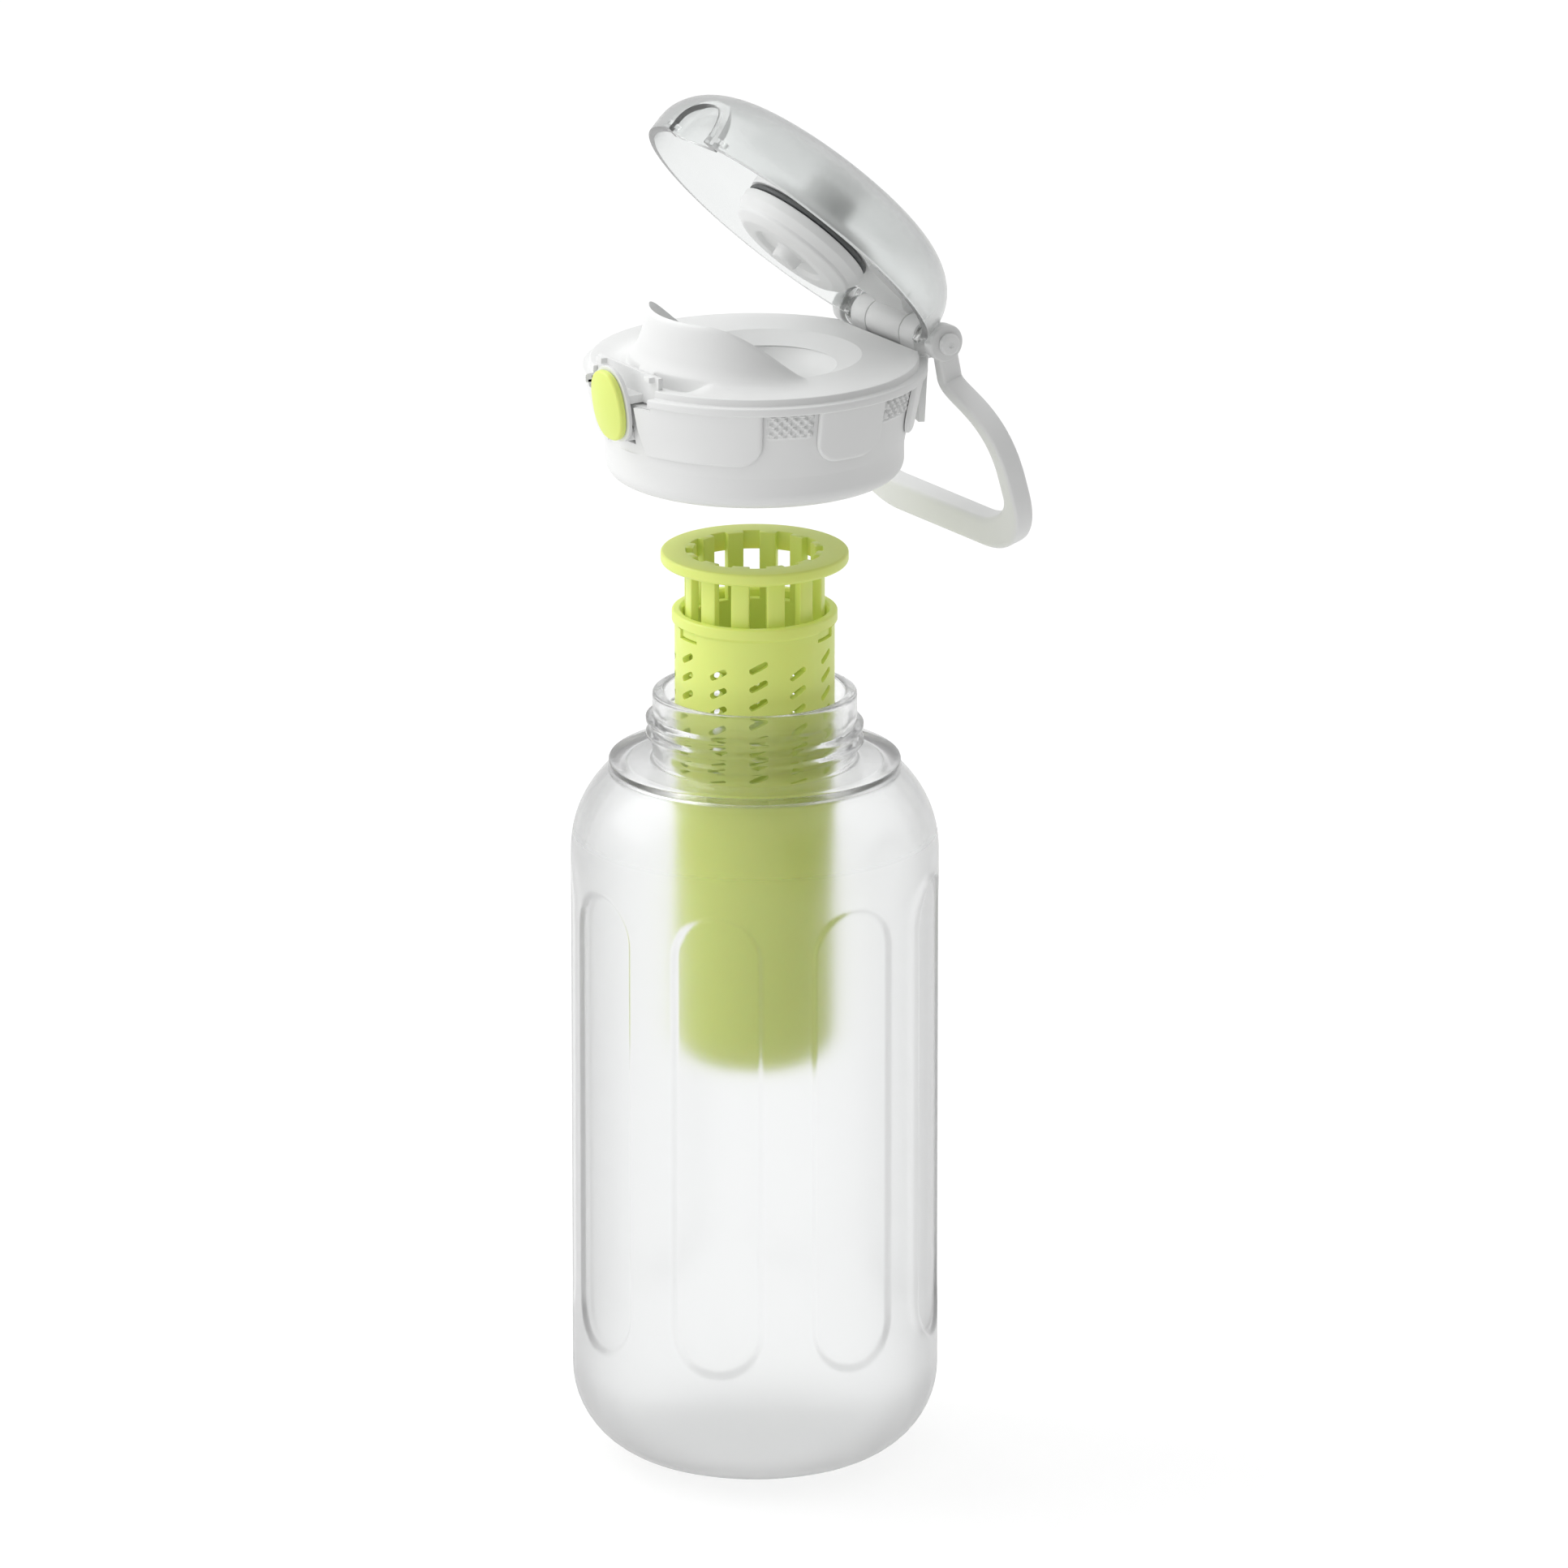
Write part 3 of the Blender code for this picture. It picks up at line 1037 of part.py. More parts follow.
def make_plug(finish, gasket_finish, holder):
    """The mouth's plug, held under the carrier's disc, and the gasket ring between them."""
    centre = (0.0, MOUTH_OFFSET - HINGE_Y, -HINGE_Z)
    gasket_top = CARRIER_LOW - FIT
    plug_top = gasket_top - GASKET_THICKNESS - FIT
    outline = [(0.0, gasket_top), (PLUG_STEM_RADIUS, gasket_top), (PLUG_STEM_RADIUS, plug_top)]
    outline += [(PLUG_RADIUS - PLUG_SHOULDER, plug_top), (PLUG_RADIUS, plug_top - PLUG_SHOULDER)]
    outline += [(PLUG_RADIUS, -PLUG_SHOULDER), (PLUG_TIP_RADIUS, -PLUG_CONE), (PLUG_TIP_RADIUS, -PLUG_SIDE)]
    outline += [((PLUG_TIP_RADIUS + PLUG_FACE_RADIUS) / 2.0, -(PLUG_SIDE + 2.0 * PLUG_FACE) / 3.0)]
    outline += [(PLUG_FACE_RADIUS, -PLUG_FACE), (PLUG_DISH_RADIUS, -PLUG_FACE + PLUG_DISH_DEPTH)]
    outline += [(NUB_RADIUS, -PLUG_FACE + PLUG_DISH_DEPTH), (NUB_RADIUS, -NUB_DROP), (0.0, -NUB_DROP)]
    turned("spout_plug", outline, LID_SEGMENTS // 2, finish, holder, centre=centre)
    low = gasket_top - GASKET_THICKNESS
    ring = [(GASKET_INNER, low), (GASKET_OUTER, low)]
    ring += [(GASKET_OUTER, gasket_top), (GASKET_INNER, gasket_top)]
    turned("plug_gasket", ring, LID_SEGMENTS // 2, gasket_finish, holder, centre=centre)


def loop_path():
    """The strap's middle line on the +X side, from the hinge axis to the middle of the bar."""
    eye_x = (EYE_START + EYE_END) / 2.0
    rise = LOOP_SHOULDER_DROP - LOOP_NECK_DROP
    sweep = bezier(
        (LOOP_NECK_X, LOOP_NECK_DROP),
        (LOOP_NECK_X, LOOP_NECK_DROP + rise * LOOP_SWEEP_SHARES[0]),
        (LOOP_HALF_WIDTH, LOOP_NECK_DROP + rise * LOOP_SWEEP_SHARES[1]),
        (LOOP_HALF_WIDTH, LOOP_SHOULDER_DROP),
        LOOP_SWEEP_STEPS,
    )
    corner = arc(
        (LOOP_HALF_WIDTH - LOOP_CORNER, LOOP_LENGTH - LOOP_CORNER), (LOOP_CORNER, LOOP_CORNER), 0.0, 90.0,
        LOOP_CORNER_STEPS,
    )
    return [(eye_x, 0.0), ((eye_x + LOOP_NECK_X) / 2.0, LOOP_NECK_DROP / 2.0)] + sweep + corner


def make_handle(finish, holder):
    """A flat strap bent to a loop, with a round eye at each end."""
    half = loop_path()
    path = half + [(-x, drop) for x, drop in reversed(half)]
    deep, c = STRAP_DEPTH / 2.0, STRAP_CHAMFER
    rings = []
    for i, (x, drop) in enumerate(path):
        before, after = path[max(i - 1, 0)], path[min(i + 1, len(path) - 1)]
        run, fall = after[0] - before[0], after[1] - before[1]
        size = math.hypot(run, fall)
        out = Vector((fall / size, 0.0, run / size))
        grown = min(drop / LOOP_SHOULDER_DROP, 1.0)
        thick = (STRAP_TOP_THICKNESS + (STRAP_THICKNESS - STRAP_TOP_THICKNESS) * grown) / 2.0
        section = [(thick, deep - c), (thick - c, deep), (c - thick, deep), (-thick, deep - c)]
        section += [(-a, -b) for a, b in section]
        rings.append([Vector((x, 0.0, -drop)) + out * a + Vector((0.0, b, 0.0)) for a, b in section])
    loop = lofted("handle_loop", rings, finish, holder, closed=False)
    join(
        loop,
        rod_x("eye_left", BARREL_RADIUS, -EYE_END, -EYE_START, 0.0, 0.0, holder),
        rod_x("eye_right", BARREL_RADIUS, EYE_START, EYE_END, 0.0, 0.0, holder),
    )
    bore_end = EYE_END + OVERRUN
    cut(loop, rod_x("eye_bore_cutter", PIN_BORE, -bore_end, bore_end, 0.0, 0.0, holder, PIN_SEGMENTS))
    return loop


def pad(name, layers, holder, finish=None):
    """An oval pad that leans with the latch.  Each layer is (half width, half height, offset)."""
    middle = (LATCH_TOP - LATCH_BOTTOM) / 2.0
    up = Vector((0.0, -math.sin(LATCH_TILT), math.cos(LATCH_TILT)))
    out = Vector((0.0, -math.cos(LATCH_TILT), -math.sin(LATCH_TILT)))
    centre = Vector((0.0, bezel_front(middle) + PIVOT_Y, middle + PIVOT_DROP))
    rings = []
    for half_width, half_height, offset in layers:
        ring = []
        for angle in full_turn(PAD_STEPS):
            c, s = math.cos(angle), math.sin(angle)
            across = math.copysign(abs(c) ** (2.0 / PAD_POWER), c) * half_width
            along = math.copysign(abs(s) ** (2.0 / PAD_POWER), s) * half_height
            ring.append(centre + Vector((across, 0.0, 0.0)) + up * along + out * offset)
        rings.append(ring)
    return lofted(name, rings, finish, holder, closed=False)


def make_latch(finish, button_finish, steel, holder):
    """The push latch: an oval bezel that rocks on a pin, a cross beam with two teeth, and the button."""
    half_height = (LATCH_TOP + LATCH_BOTTOM) / 2.0
    bezel = (BEZEL_HALF_WIDTH, half_height, -BEZEL_THICKNESS), (BEZEL_HALF_WIDTH, half_height, 0.0)
    lever = pad("latch_lever", bezel, holder, finish)
    web_top = -LEVER_WEB_TOP + PIVOT_DROP
    web_low = web_top - LEVER_WEB_THICKNESS
    root = bezel_front(-LEVER_WEB_TOP) + BEZEL_THICKNESS - SINK + PIVOT_Y
    beam_front, beam_back, beam_top = PIVOT_Y - BEAM_FRONT, PIVOT_Y - BEAM_BACK, BEAM_TOP + PIVOT_DROP
    arm_root = bezel_front(-PIVOT_DROP) + BEZEL_THICKNESS - SINK + PIVOT_Y
    web_half = BEZEL_HALF_WIDTH - SINK
    join(
        lever,
        block("lever_web", (-web_half, root, web_low), (web_half, beam_back, web_top), holder),
        block("lever_beam", (-BEAM_HALF, beam_front, web_low), (BEAM_HALF, beam_back, beam_top), holder),
        rod_x(
            "lever_knuckle", PIVOT_KNUCKLE_RADIUS, -PIVOT_KNUCKLE_HALF, PIVOT_KNUCKLE_HALF,
            0.0, 0.0, holder,
        ),
        block("lever_arm", (-PIVOT_KNUCKLE_HALF + SINK, arm_root, -LEVER_ARM_HALF),
              (PIVOT_KNUCKLE_HALF - SINK, 0.0, LEVER_ARM_HALF), holder),
    )
    for side, name in ((-1.0, "left"), (1.0, "right")):
        ends = sorted((side * TOOTH_X, side * (TOOTH_X + TOOTH_WIDTH)))
        join(lever, block(
            "lever_tooth_" + name,
            (ends[0], PIVOT_Y - TOOTH_FRONT, beam_top - TOOTH_HEIGHT),
            (ends[1], beam_front + SINK, beam_top), holder,
        ))
    cut(lever, rod_x(
        "lever_bore_cutter", PIVOT_BORE, -PIVOT_PIN_HALF, PIVOT_PIN_HALF, 0.0, 0.0, holder, PIN_SEGMENTS,
    ))
    wide, tall = BUTTON_HALF_WIDTH, half_height - BUTTON_MARGIN
    edge = FIT + BUTTON_THICKNESS
    rounding = BUTTON_MARGIN / 2.0
    layers = [(wide, tall, FIT), (wide, tall, edge - BUTTON_MARGIN)]
    layers.append((wide - rounding, tall - rounding, edge))
    layers += [
        (wide * across, tall * along, edge + BUTTON_DOME * proud)
        for across, along, proud in BUTTON_DOME_SHARES
    ]
    pad("latch_button", layers, holder, button_finish)
    hole_end = channel_floor(-LATCH_SPRING_DROP) + LATCH_SPRING_DEPTH
    spring_end = hole_end - LATCH_SPRING_PLAY - LATCH_SPRING_WIRE
    spring_start = bezel_front(-LATCH_SPRING_DROP) + BEZEL_THICKNESS + FIT + LATCH_SPRING_TRAVEL
    spring_start += LATCH_SPRING_WIRE
    coil(
        "latch_spring", LATCH_SPRING_RADIUS, LATCH_SPRING_WIRE, spring_start + PIVOT_Y, spring_end + PIVOT_Y,
        LATCH_SPRING_TURN_COUNT, (0.0, 0.0, PIVOT_DROP - LATCH_SPRING_DROP), "Y", steel, holder,
    )
    return lever


def build():
    for old in list(bpy.data.objects):
        bpy.data.objects.remove(old, do_unlink=True)
    clear = material("clear_plastic", (0.93, 0.95, 0.95), 0.08, alpha=0.35)
    white = material("white_plastic", (0.84, 0.85, 0.84), 0.4)
    lime = material("lime_plastic", (0.60, 0.71, 0.20), 0.42)
    rubber = material("grey_silicone", (0.16, 0.17, 0.17), 0.6)
    pale_rubber = material("white_silicone", (0.78, 0.79, 0.78), 0.6)
    steel = material("spring_steel", (0.62, 0.62, 0.60), 0.3, metallic=1.0)

    make_bottle(clear)
    infuser_frame = frame("infuser_frame", (0.0, 0.0, FLANGE_REST))
    make_infuser(lime, infuser_frame)

    lid_frame = frame("lid_frame", (0.0, 0.0, DECK_REST))
    make_seal(pale_rubber, lid_frame)
    cover = make_cover(white, lid_frame)
    collar = make_lid_collar(white, lid_frame)
    cut_lid(cover, collar, lid_frame)
    make_bracket(white, lid_frame)
    make_hinge_pins(steel, white, lid_frame)

    hinge = (0.0, HINGE_Y, HINGE_Z)
    cap_frame = frame("cap_frame", hinge, lid_frame, -CAP_OPEN_ANGLE)
    make_cap(clear, cap_frame)
    make_carrier(white, cap_frame)
    make_plug(white, rubber, cap_frame)
    reach = BARREL_HALF - BARREL_END - FIT - SPRING_WIRE
    coil(
        "hinge_spring", SPRING_RADIUS, SPRING_WIRE, -reach, reach, SPRING_TURN_COUNT, (0.0, 0.0, 0.0), "X",
        steel, cap_frame,
    )

    handle_frame = frame("handle_frame", hinge, lid_frame, LOOP_TILT)
    make_handle(white, handle_frame)
    latch_frame = frame("latch_frame", (0.0, -PIVOT_Y, -PIVOT_DROP), lid_frame)
    make_latch(white, lime, steel, latch_frame)
    bpy.context.view_layer.update()


build()
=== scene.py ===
import math
import bpy
import bmesh
import numpy as np
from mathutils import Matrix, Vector


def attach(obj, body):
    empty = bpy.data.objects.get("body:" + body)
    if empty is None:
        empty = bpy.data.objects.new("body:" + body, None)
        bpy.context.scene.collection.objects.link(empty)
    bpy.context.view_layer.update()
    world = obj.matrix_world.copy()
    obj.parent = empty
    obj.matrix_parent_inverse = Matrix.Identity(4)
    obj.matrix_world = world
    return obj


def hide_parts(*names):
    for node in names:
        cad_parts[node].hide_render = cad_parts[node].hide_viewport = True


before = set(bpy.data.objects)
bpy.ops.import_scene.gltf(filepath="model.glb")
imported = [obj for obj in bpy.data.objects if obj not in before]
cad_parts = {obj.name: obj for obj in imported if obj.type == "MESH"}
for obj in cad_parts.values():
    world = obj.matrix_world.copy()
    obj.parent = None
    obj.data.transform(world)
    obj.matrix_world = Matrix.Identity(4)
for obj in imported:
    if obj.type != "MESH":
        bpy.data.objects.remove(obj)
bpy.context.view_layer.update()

# every length below is in millimetres, and millimetre turns it into scene units
millimetre = 0.001
fullTurn = 2.0 * np.pi
mergeReach = 0.002              # points closer than this are one point
emptyReach = 0.001              # edges shorter than this are dropped

# heights and axes that the pieces share
place = {
    "deck": 279.0,              # the lid's flat top, lifted off the bottle
    "hingeY": 41.4,
    "hingeZ": 2.0,              # above the deck
    "capOpen": 45.0,            # degrees
    "loopTilt": 16.0,           # degrees from hanging straight down
    "flange": 227.3,            # underside of the infuser's flange
    "pivotY": -35.4,
    "pivotZ": -13.2,            # the latch's pin, below the deck
}

camera = {
    "azimuth": 57.0, "elevation": 17.0, "lens": 350.0, "sensor": 36.0,
    "field": 383.0,             # the picture's width at the object
    "right": 7.14, "height": 170.6,
}


# making meshes

# quads between neighbours on a grid of rows and columns; wrapping joins the last to the first,
# and caps close the first and the last row with one flat face each
def gridPatch(points, wrapRows=False, wrapColumns=False, caps=False):
    points = np.asarray(points, float)
    rows, columns = points.shape[:2]
    index = np.arange(rows * columns).reshape(rows, columns)
    faces = []
    if caps:
        faces = [index[0].tolist(), index[-1].tolist()]
    if wrapRows:
        index = np.vstack([index, index[:1]])
    if wrapColumns:
        index = np.hstack([index, index[:, :1]])
    quads = np.stack([index[:-1, :-1], index[:-1, 1:], index[1:, 1:], index[1:, :-1]], -1)
    return points.reshape(-1, 3), quads.reshape(-1, 4).tolist() + faces


# a mesh object from patches: doubles merged, empty faces dropped, faces turned outwards
def makeObject(name, patches, finish, sharp=38.0, outwards=True):
    vertices, faces, first = [], [], 0
    for points, quads in patches:
        vertices.append(np.asarray(points, float).reshape(-1, 3))
        faces += [[corner + first for corner in face] for face in quads] if first else quads
        first += len(vertices[-1])
    mesh = bpy.data.meshes.new(name)
    mesh.from_pydata((np.concatenate(vertices) * millimetre).tolist(), [], faces)
    work = bmesh.new()
    work.from_mesh(mesh)
    bmesh.ops.remove_doubles(work, verts=work.verts, dist=mergeReach * millimetre)
    bmesh.ops.dissolve_degenerate(work, edges=work.edges, dist=emptyReach * millimetre)
    if outwards:
        bmesh.ops.recalc_face_normals(work, faces=work.faces)
    work.to_mesh(mesh)
    work.free()
    mesh.shade_smooth()
    mesh.set_sharp_from_angle(angle=math.radians(sharp))
    made = bpy.data.objects.new(name, mesh)
    bpy.context.scene.collection.objects.link(made)
    mesh.materials.append(finish)
    return made


# puts a finished piece on its body, in place of the nodes that it stands for
def seat(piece, body, slot, *nodes):
    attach(piece, body)
    if nodes:
        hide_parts(*nodes)
    print("made", piece.name, len(piece.data.polygons), "faces")
    return piece


# runs Booleans on a piece and keeps the result as its mesh
def carve(piece, cutters, operation="DIFFERENCE", sharp=38.0):
    for cutter in cutters:
        step = piece.modifiers.new("carve", "BOOLEAN")
        step.operation, step.solver, step.object = operation, "EXACT", cutter
    settle(piece, sharp)
    for cutter in cutters:
        bpy.data.objects.remove(cutter)
    return piece


# one piece from several that overlap: their meshes side by side in one object
def gathered(name, pieces, sharp=38.0):
    work = bmesh.new()
    for piece in pieces:
        work.from_mesh(piece.data)
    mesh = bpy.data.meshes.new(name)
    work.to_mesh(mesh)
    work.free()
    mesh.materials.append(pieces[0].data.materials[0])
    mesh.shade_smooth()
    mesh.set_sharp_from_angle(angle=math.radians(sharp))
    made = bpy.data.objects.new(name, mesh)
    bpy.context.scene.collection.objects.link(made)
    for piece in pieces:
        bpy.data.objects.remove(piece)
    return made


# turns a piece's modifiers into its own mesh
def settle(piece, sharp=38.0):
    evaluated = piece.evaluated_get(bpy.context.evaluated_depsgraph_get())
    mesh = bpy.data.meshes.new_from_object(evaluated)
    piece.modifiers.clear()
    piece.data = mesh
    mesh.shade_smooth()
    mesh.set_sharp_from_angle(angle=math.radians(sharp))
    return piece


# a CAD solid's own shape with merged points, flat regions joined and its edges rounded
def softenedCopy(node, name, finish, edge=0.25, steps=2, sharp=32.0):
    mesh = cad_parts[node].data.copy()
    work = bmesh.new()
    work.from_mesh(mesh)
    bmesh.ops.remove_doubles(work, verts=work.verts, dist=mergeReach * millimetre)
    bmesh.ops.dissolve_limit(work, angle_limit=math.radians(0.5), verts=work.verts, edges=work.edges)
    work.to_mesh(mesh)
    work.free()
    mesh.materials.clear()
    mesh.materials.append(finish)
    made = bpy.data.objects.new(name, mesh)
    bpy.context.scene.collection.objects.link(made)
    if edge:
        bevel = made.modifiers.new("edge", "BEVEL")
        bevel.width, bevel.segments = edge * millimetre, steps
        bevel.limit_method, bevel.angle_limit = "ANGLE", math.radians(sharp)
        bevel.harden_normals = False
    return settle(made, sharp)


# a line through corners (x, y, fillet): each corner becomes an arc whose centre lies on its bisector
def rounded(corners, closed=False, steps=5):
    spots = np.array([corner[:2] for corner in corners], float)
    line = []
    for i, corner in enumerate(corners):
        fillet = corner[2] if len(corner) > 2 else 0.0
        if fillet <= 0.0 or (not closed and i in (0, len(corners) - 1)):
            line.append(spots[i])
            continue
        here = spots[i]
        back, ahead = spots[i - 1] - here, spots[(i + 1) % len(corners)] - here
        backSize, aheadSize = np.linalg.norm(back), np.linalg.norm(ahead)
        back, ahead = back / backSize, ahead / aheadSize
        if back @ ahead < -0.9999:
            line.append(here)
            continue
        half = 0.5 * math.acos(float(np.clip(back @ ahead, -1.0, 1.0)))
        reach = min(fillet / math.tan(half), 0.49 * backSize, 0.49 * aheadSize)
        fillet = reach * math.tan(half)
        middle = (back + ahead) / np.linalg.norm(back + ahead)
        centre = here + middle * fillet / math.sin(half)
        first, last = here + back * reach - centre, here + ahead * reach - centre
        start = math.atan2(first[1], first[0])
        sweep = (math.atan2(last[1], last[0]) - start + np.pi) % fullTurn - np.pi
        turn = start + sweep * np.linspace(0.0, 1.0, steps + 1)
        line += list(centre + fillet * np.stack([np.cos(turn), np.sin(turn)], -1))
    return np.array(line)


# a Bezier curve of four control points: (1-t)^3 a + 3t(1-t)^2 b + 3t^2(1-t) c + t^3 d
def cubic(controls, count):
    t = np.linspace(0.0, 1.0, count)[:, None]
    a, b, c, d = (np.array(p, float) for p in controls)
    return a * (1 - t) ** 3 + 3 * b * t * (1 - t) ** 2 + 3 * c * t * t * (1 - t) + d * t ** 3


# points of an ellipse's arc, from one angle to another, in degrees
def arcPoints(centre, radii, start, end, count):
    turn = np.radians(np.linspace(start, end, count))
    return np.stack([centre[0] + radii[0] * np.cos(turn), centre[1] + radii[1] * np.sin(turn)], -1)


# adds points so that no step along a line is longer than the given length
def refined(line, longest):
    line = np.asarray(line, float)
    parts = [line[:1]]
    for a, b in zip(line[:-1], line[1:]):
        count = max(1, int(np.ceil(np.linalg.norm(b - a) / longest)))
        parts.append(a + (b - a) * np.linspace(0.0, 1.0, count + 1)[1:, None])
    return np.concatenate(parts)


# smooth step 3t^2 - 2t^3: 0 below the first value, 1 above the second
def ramp(low, high, value):
    t = np.clip((value - low) / (high - low), 0.0, 1.0)
    return t * t * (3.0 - 2.0 * t)


# a profile (radius, height) carried round an upright axis; angles run from the front (-Y) towards +X
def turned(profile, angles, centreY=0.0):
    profile = np.asarray(profile, float)
    radius, height = profile[:, :1], profile[:, 1:]
    return np.stack([
        radius * np.sin(angles), centreY - radius * np.cos(angles), height + np.zeros_like(angles)
    ], -1)


def evenTurn(count):
    return np.linspace(0.0, fullTurn, count, endpoint=False)


# a profile (radius, x) carried round an axis along X
def turnedAcross(profile, count, y=0.0, z=0.0):
    spots = turned(profile, evenTurn(count))
    return np.stack([spots[..., 2], y + spots[..., 0], z + spots[..., 1]], -1)


# a block with rounded outline pulled along X: the outline is (y, z)
def pulledAcross(outline, low, high):
    outline = np.asarray(outline, float)
    return np.stack([np.column_stack([np.full(len(outline), x), outline]) for x in (low, high)])


# a box between two corners
def boxPatch(low, high):
    outline = [(low[1], low[2]), (high[1], low[2]), (high[1], high[2]), (low[1], high[2])]
    return gridPatch(pulledAcross(outline, low[0], high[0]), wrapColumns=True, caps=True)


# a section (a, b) carried along a line in a plane: a lies across the line, b along the plane's normal, and
# each point's share scales a
def swept(path, section, normal, share=None):
    path, section, normal = np.asarray(path, float), np.asarray(section, float), np.asarray(normal, float)
    along = np.gradient(path, axis=0)
    along /= np.linalg.norm(along, axis=1, keepdims=True)
    side = np.cross(along, normal)
    width = section[None, :, :1] * (1.0 if share is None else share[:, None, None])
    return path[:, None] + side[:, None] * width + normal * section[None, :, 1:]


# moves points that are given above the deck to their place in the lifted lid
def onLid(points):
    return np.asarray(points, float) + (0.0, 0.0, place["deck"])


# turns points of the closed cap (given above the deck) about the hinge to its open place
def onCap(points):
    turn = math.radians(place["capOpen"])
    spots = np.asarray(points, float) - (0.0, place["hingeY"], place["hingeZ"])
    y = spots[..., 1] * math.cos(turn) + spots[..., 2] * math.sin(turn)
    z = -spots[..., 1] * math.sin(turn) + spots[..., 2] * math.cos(turn)
    return np.stack([
        spots[..., 0], y + place["hingeY"], z + place["deck"] + place["hingeZ"]
    ], -1)


# materials

# what every moulded plastic has unless its finish says otherwise
grainLook = {
    "cloud": 60.0, "cloudDetail": 3.0, "shade": 0.96, "grain": 2600.0, "grainDetail": 2.0, "spread": 0.04,
    "bump": 0.06, "bumpDepth": 0.05, "sockets": {},
}
rippleLook = {"detail": 1.0, "bump": 0.05, "bumpDepth": 0.2}


# moulded plastic: a base colour with a faint cloudy change, fine grain in its roughness and a shallow bump
def plastic(name, finish):
    look = {**grainLook, **finish}
    made = bpy.data.materials.new(name)
    made.use_nodes = True
    tree = made.node_tree
    shader = tree.nodes["Principled BSDF"]
    spot = tree.nodes.new("ShaderNodeTexCoord")
    cloud = tree.nodes.new("ShaderNodeTexNoise")
    cloud.inputs["Scale"].default_value = look["cloud"]
    cloud.inputs["Detail"].default_value = look["cloudDetail"]
    grain = tree.nodes.new("ShaderNodeTexNoise")
    grain.inputs["Scale"].default_value = look["grain"]
    grain.inputs["Detail"].default_value = look["grainDetail"]
    tint = tree.nodes.new("ShaderNodeMix")
    tint.data_type = "RGBA"
    low = tuple(value * look["shade"] for value in look["colour"])
    tint.inputs["A"].default_value = (*low, 1.0)
    tint.inputs["B"].default_value = (*look["colour"], 1.0)
    rough = tree.nodes.new("ShaderNodeMapRange")
    rough.inputs["To Min"].default_value = look["roughness"] - look["spread"]
    rough.inputs["To Max"].default_value = look["roughness"] + look["spread"]
    bump = tree.nodes.new("ShaderNodeBump")
    bump.inputs["Strength"].default_value = look["bump"]
    bump.inputs["Distance"].default_value = look["bumpDepth"] * millimetre
    for texture in (cloud, grain):
        tree.links.new(spot.outputs["Object"], texture.inputs["Vector"])
    tree.links.new(cloud.outputs["Fac"], tint.inputs["Factor"])
    tree.links.new(tint.outputs["Result"], shader.inputs["Base Color"])
    tree.links.new(grain.outputs["Fac"], rough.inputs["Value"])
    tree.links.new(rough.outputs["Result"], shader.inputs["Roughness"])
    tree.links.new(grain.outputs["Fac"], bump.inputs["Height"])
    tree.links.new(bump.outputs["Normal"], shader.inputs["Normal"])
    for socket, value in look["sockets"].items():
        shader.inputs[socket].default_value = value
    return made


# clear plastic: its roughness goes from one value below a height to another above a second height
def clearPlastic(name, look):
    made = bpy.data.materials.new(name)
    made.use_nodes = True
    tree = made.node_tree
    shader = tree.nodes["Principled BSDF"]
    shader.inputs["Transmission Weight"].default_value = 1.0
    shader.inputs["IOR"].default_value = look["ior"]
    shader.inputs["Base Color"].default_value = (*look["colour"], 1.0)
    spot = tree.nodes.new("ShaderNodeTexCoord")
    parts = tree.nodes.new("ShaderNodeSeparateXYZ")
    mist = tree.nodes.new("ShaderNodeMapRange")
    mist.interpolation_type = "SMOOTHSTEP"
    mist.inputs["From Min"].default_value = look["mistLow"] * millimetre
    mist.inputs["From Max"].default_value = look["mistHigh"] * millimetre
    mist.inputs["To Min"].default_value = look["misty"]
    mist.inputs["To Max"].default_value = look["smooth"]
    ripple = tree.nodes.new("ShaderNodeTexNoise")
    ripple.inputs["Scale"].default_value = look["ripple"]
    ripple.inputs["Detail"].default_value = rippleLook["detail"]
    bump = tree.nodes.new("ShaderNodeBump")
    bump.inputs["Strength"].default_value = rippleLook["bump"]
    bump.inputs["Distance"].default_value = rippleLook["bumpDepth"] * millimetre
    tree.links.new(spot.outputs["Object"], parts.inputs["Vector"])
    tree.links.new(spot.outputs["Object"], ripple.inputs["Vector"])
    tree.links.new(parts.outputs["Z"], mist.inputs["Value"])
    tree.links.new(mist.outputs["Result"], shader.inputs["Roughness"])
    tree.links.new(ripple.outputs["Fac"], bump.inputs["Height"])
    tree.links.new(bump.outputs["Normal"], shader.inputs["Normal"])
    return made


finishes = {
    "white": {"colour": (0.77, 0.775, 0.77), "roughness": 0.48, "sockets": {"IOR": 1.49}},
    # the lime plastic also carries a faint painted glow: its emission brightens it as though more light fell
    # on it
    "lime": {"colour": (0.68, 0.775, 0.185), "roughness": 0.42, "shade": 0.94,
             "sockets": {"Subsurface Weight": 0.12, "Subsurface Scale": 0.003, "Emission Strength": 0.07,
                         "Emission Color": (0.68, 0.775, 0.15, 1.0)}},
    "greySilicone": {"colour": (0.10, 0.105, 0.105), "roughness": 0.55},
    "paleSilicone": {"colour": (0.72, 0.73, 0.72), "roughness": 0.6},
    "steel": {"colour": (0.55, 0.55, 0.54), "roughness": 0.3, "sockets": {"Metallic": 1.0}},
    "bodyClear": {"colour": (0.945, 0.95, 0.95), "ior": 1.35, "mistLow": 150.0, "mistHigh": 190.0,
                  "misty": 0.29, "smooth": 0.17, "ripple": 18.0},
    "capClear": {"colour": (0.88, 0.895, 0.89), "ior": 1.38, "mistLow": 0.0, "mistHigh": 1.0, "misty": 0.22,
                 "smooth": 0.22, "ripple": 30.0},
}
white = plastic("whitePlastic", finishes["white"])
lime = plastic("limePlastic", finishes["lime"])
greySilicone = plastic("greySilicone", finishes["greySilicone"])
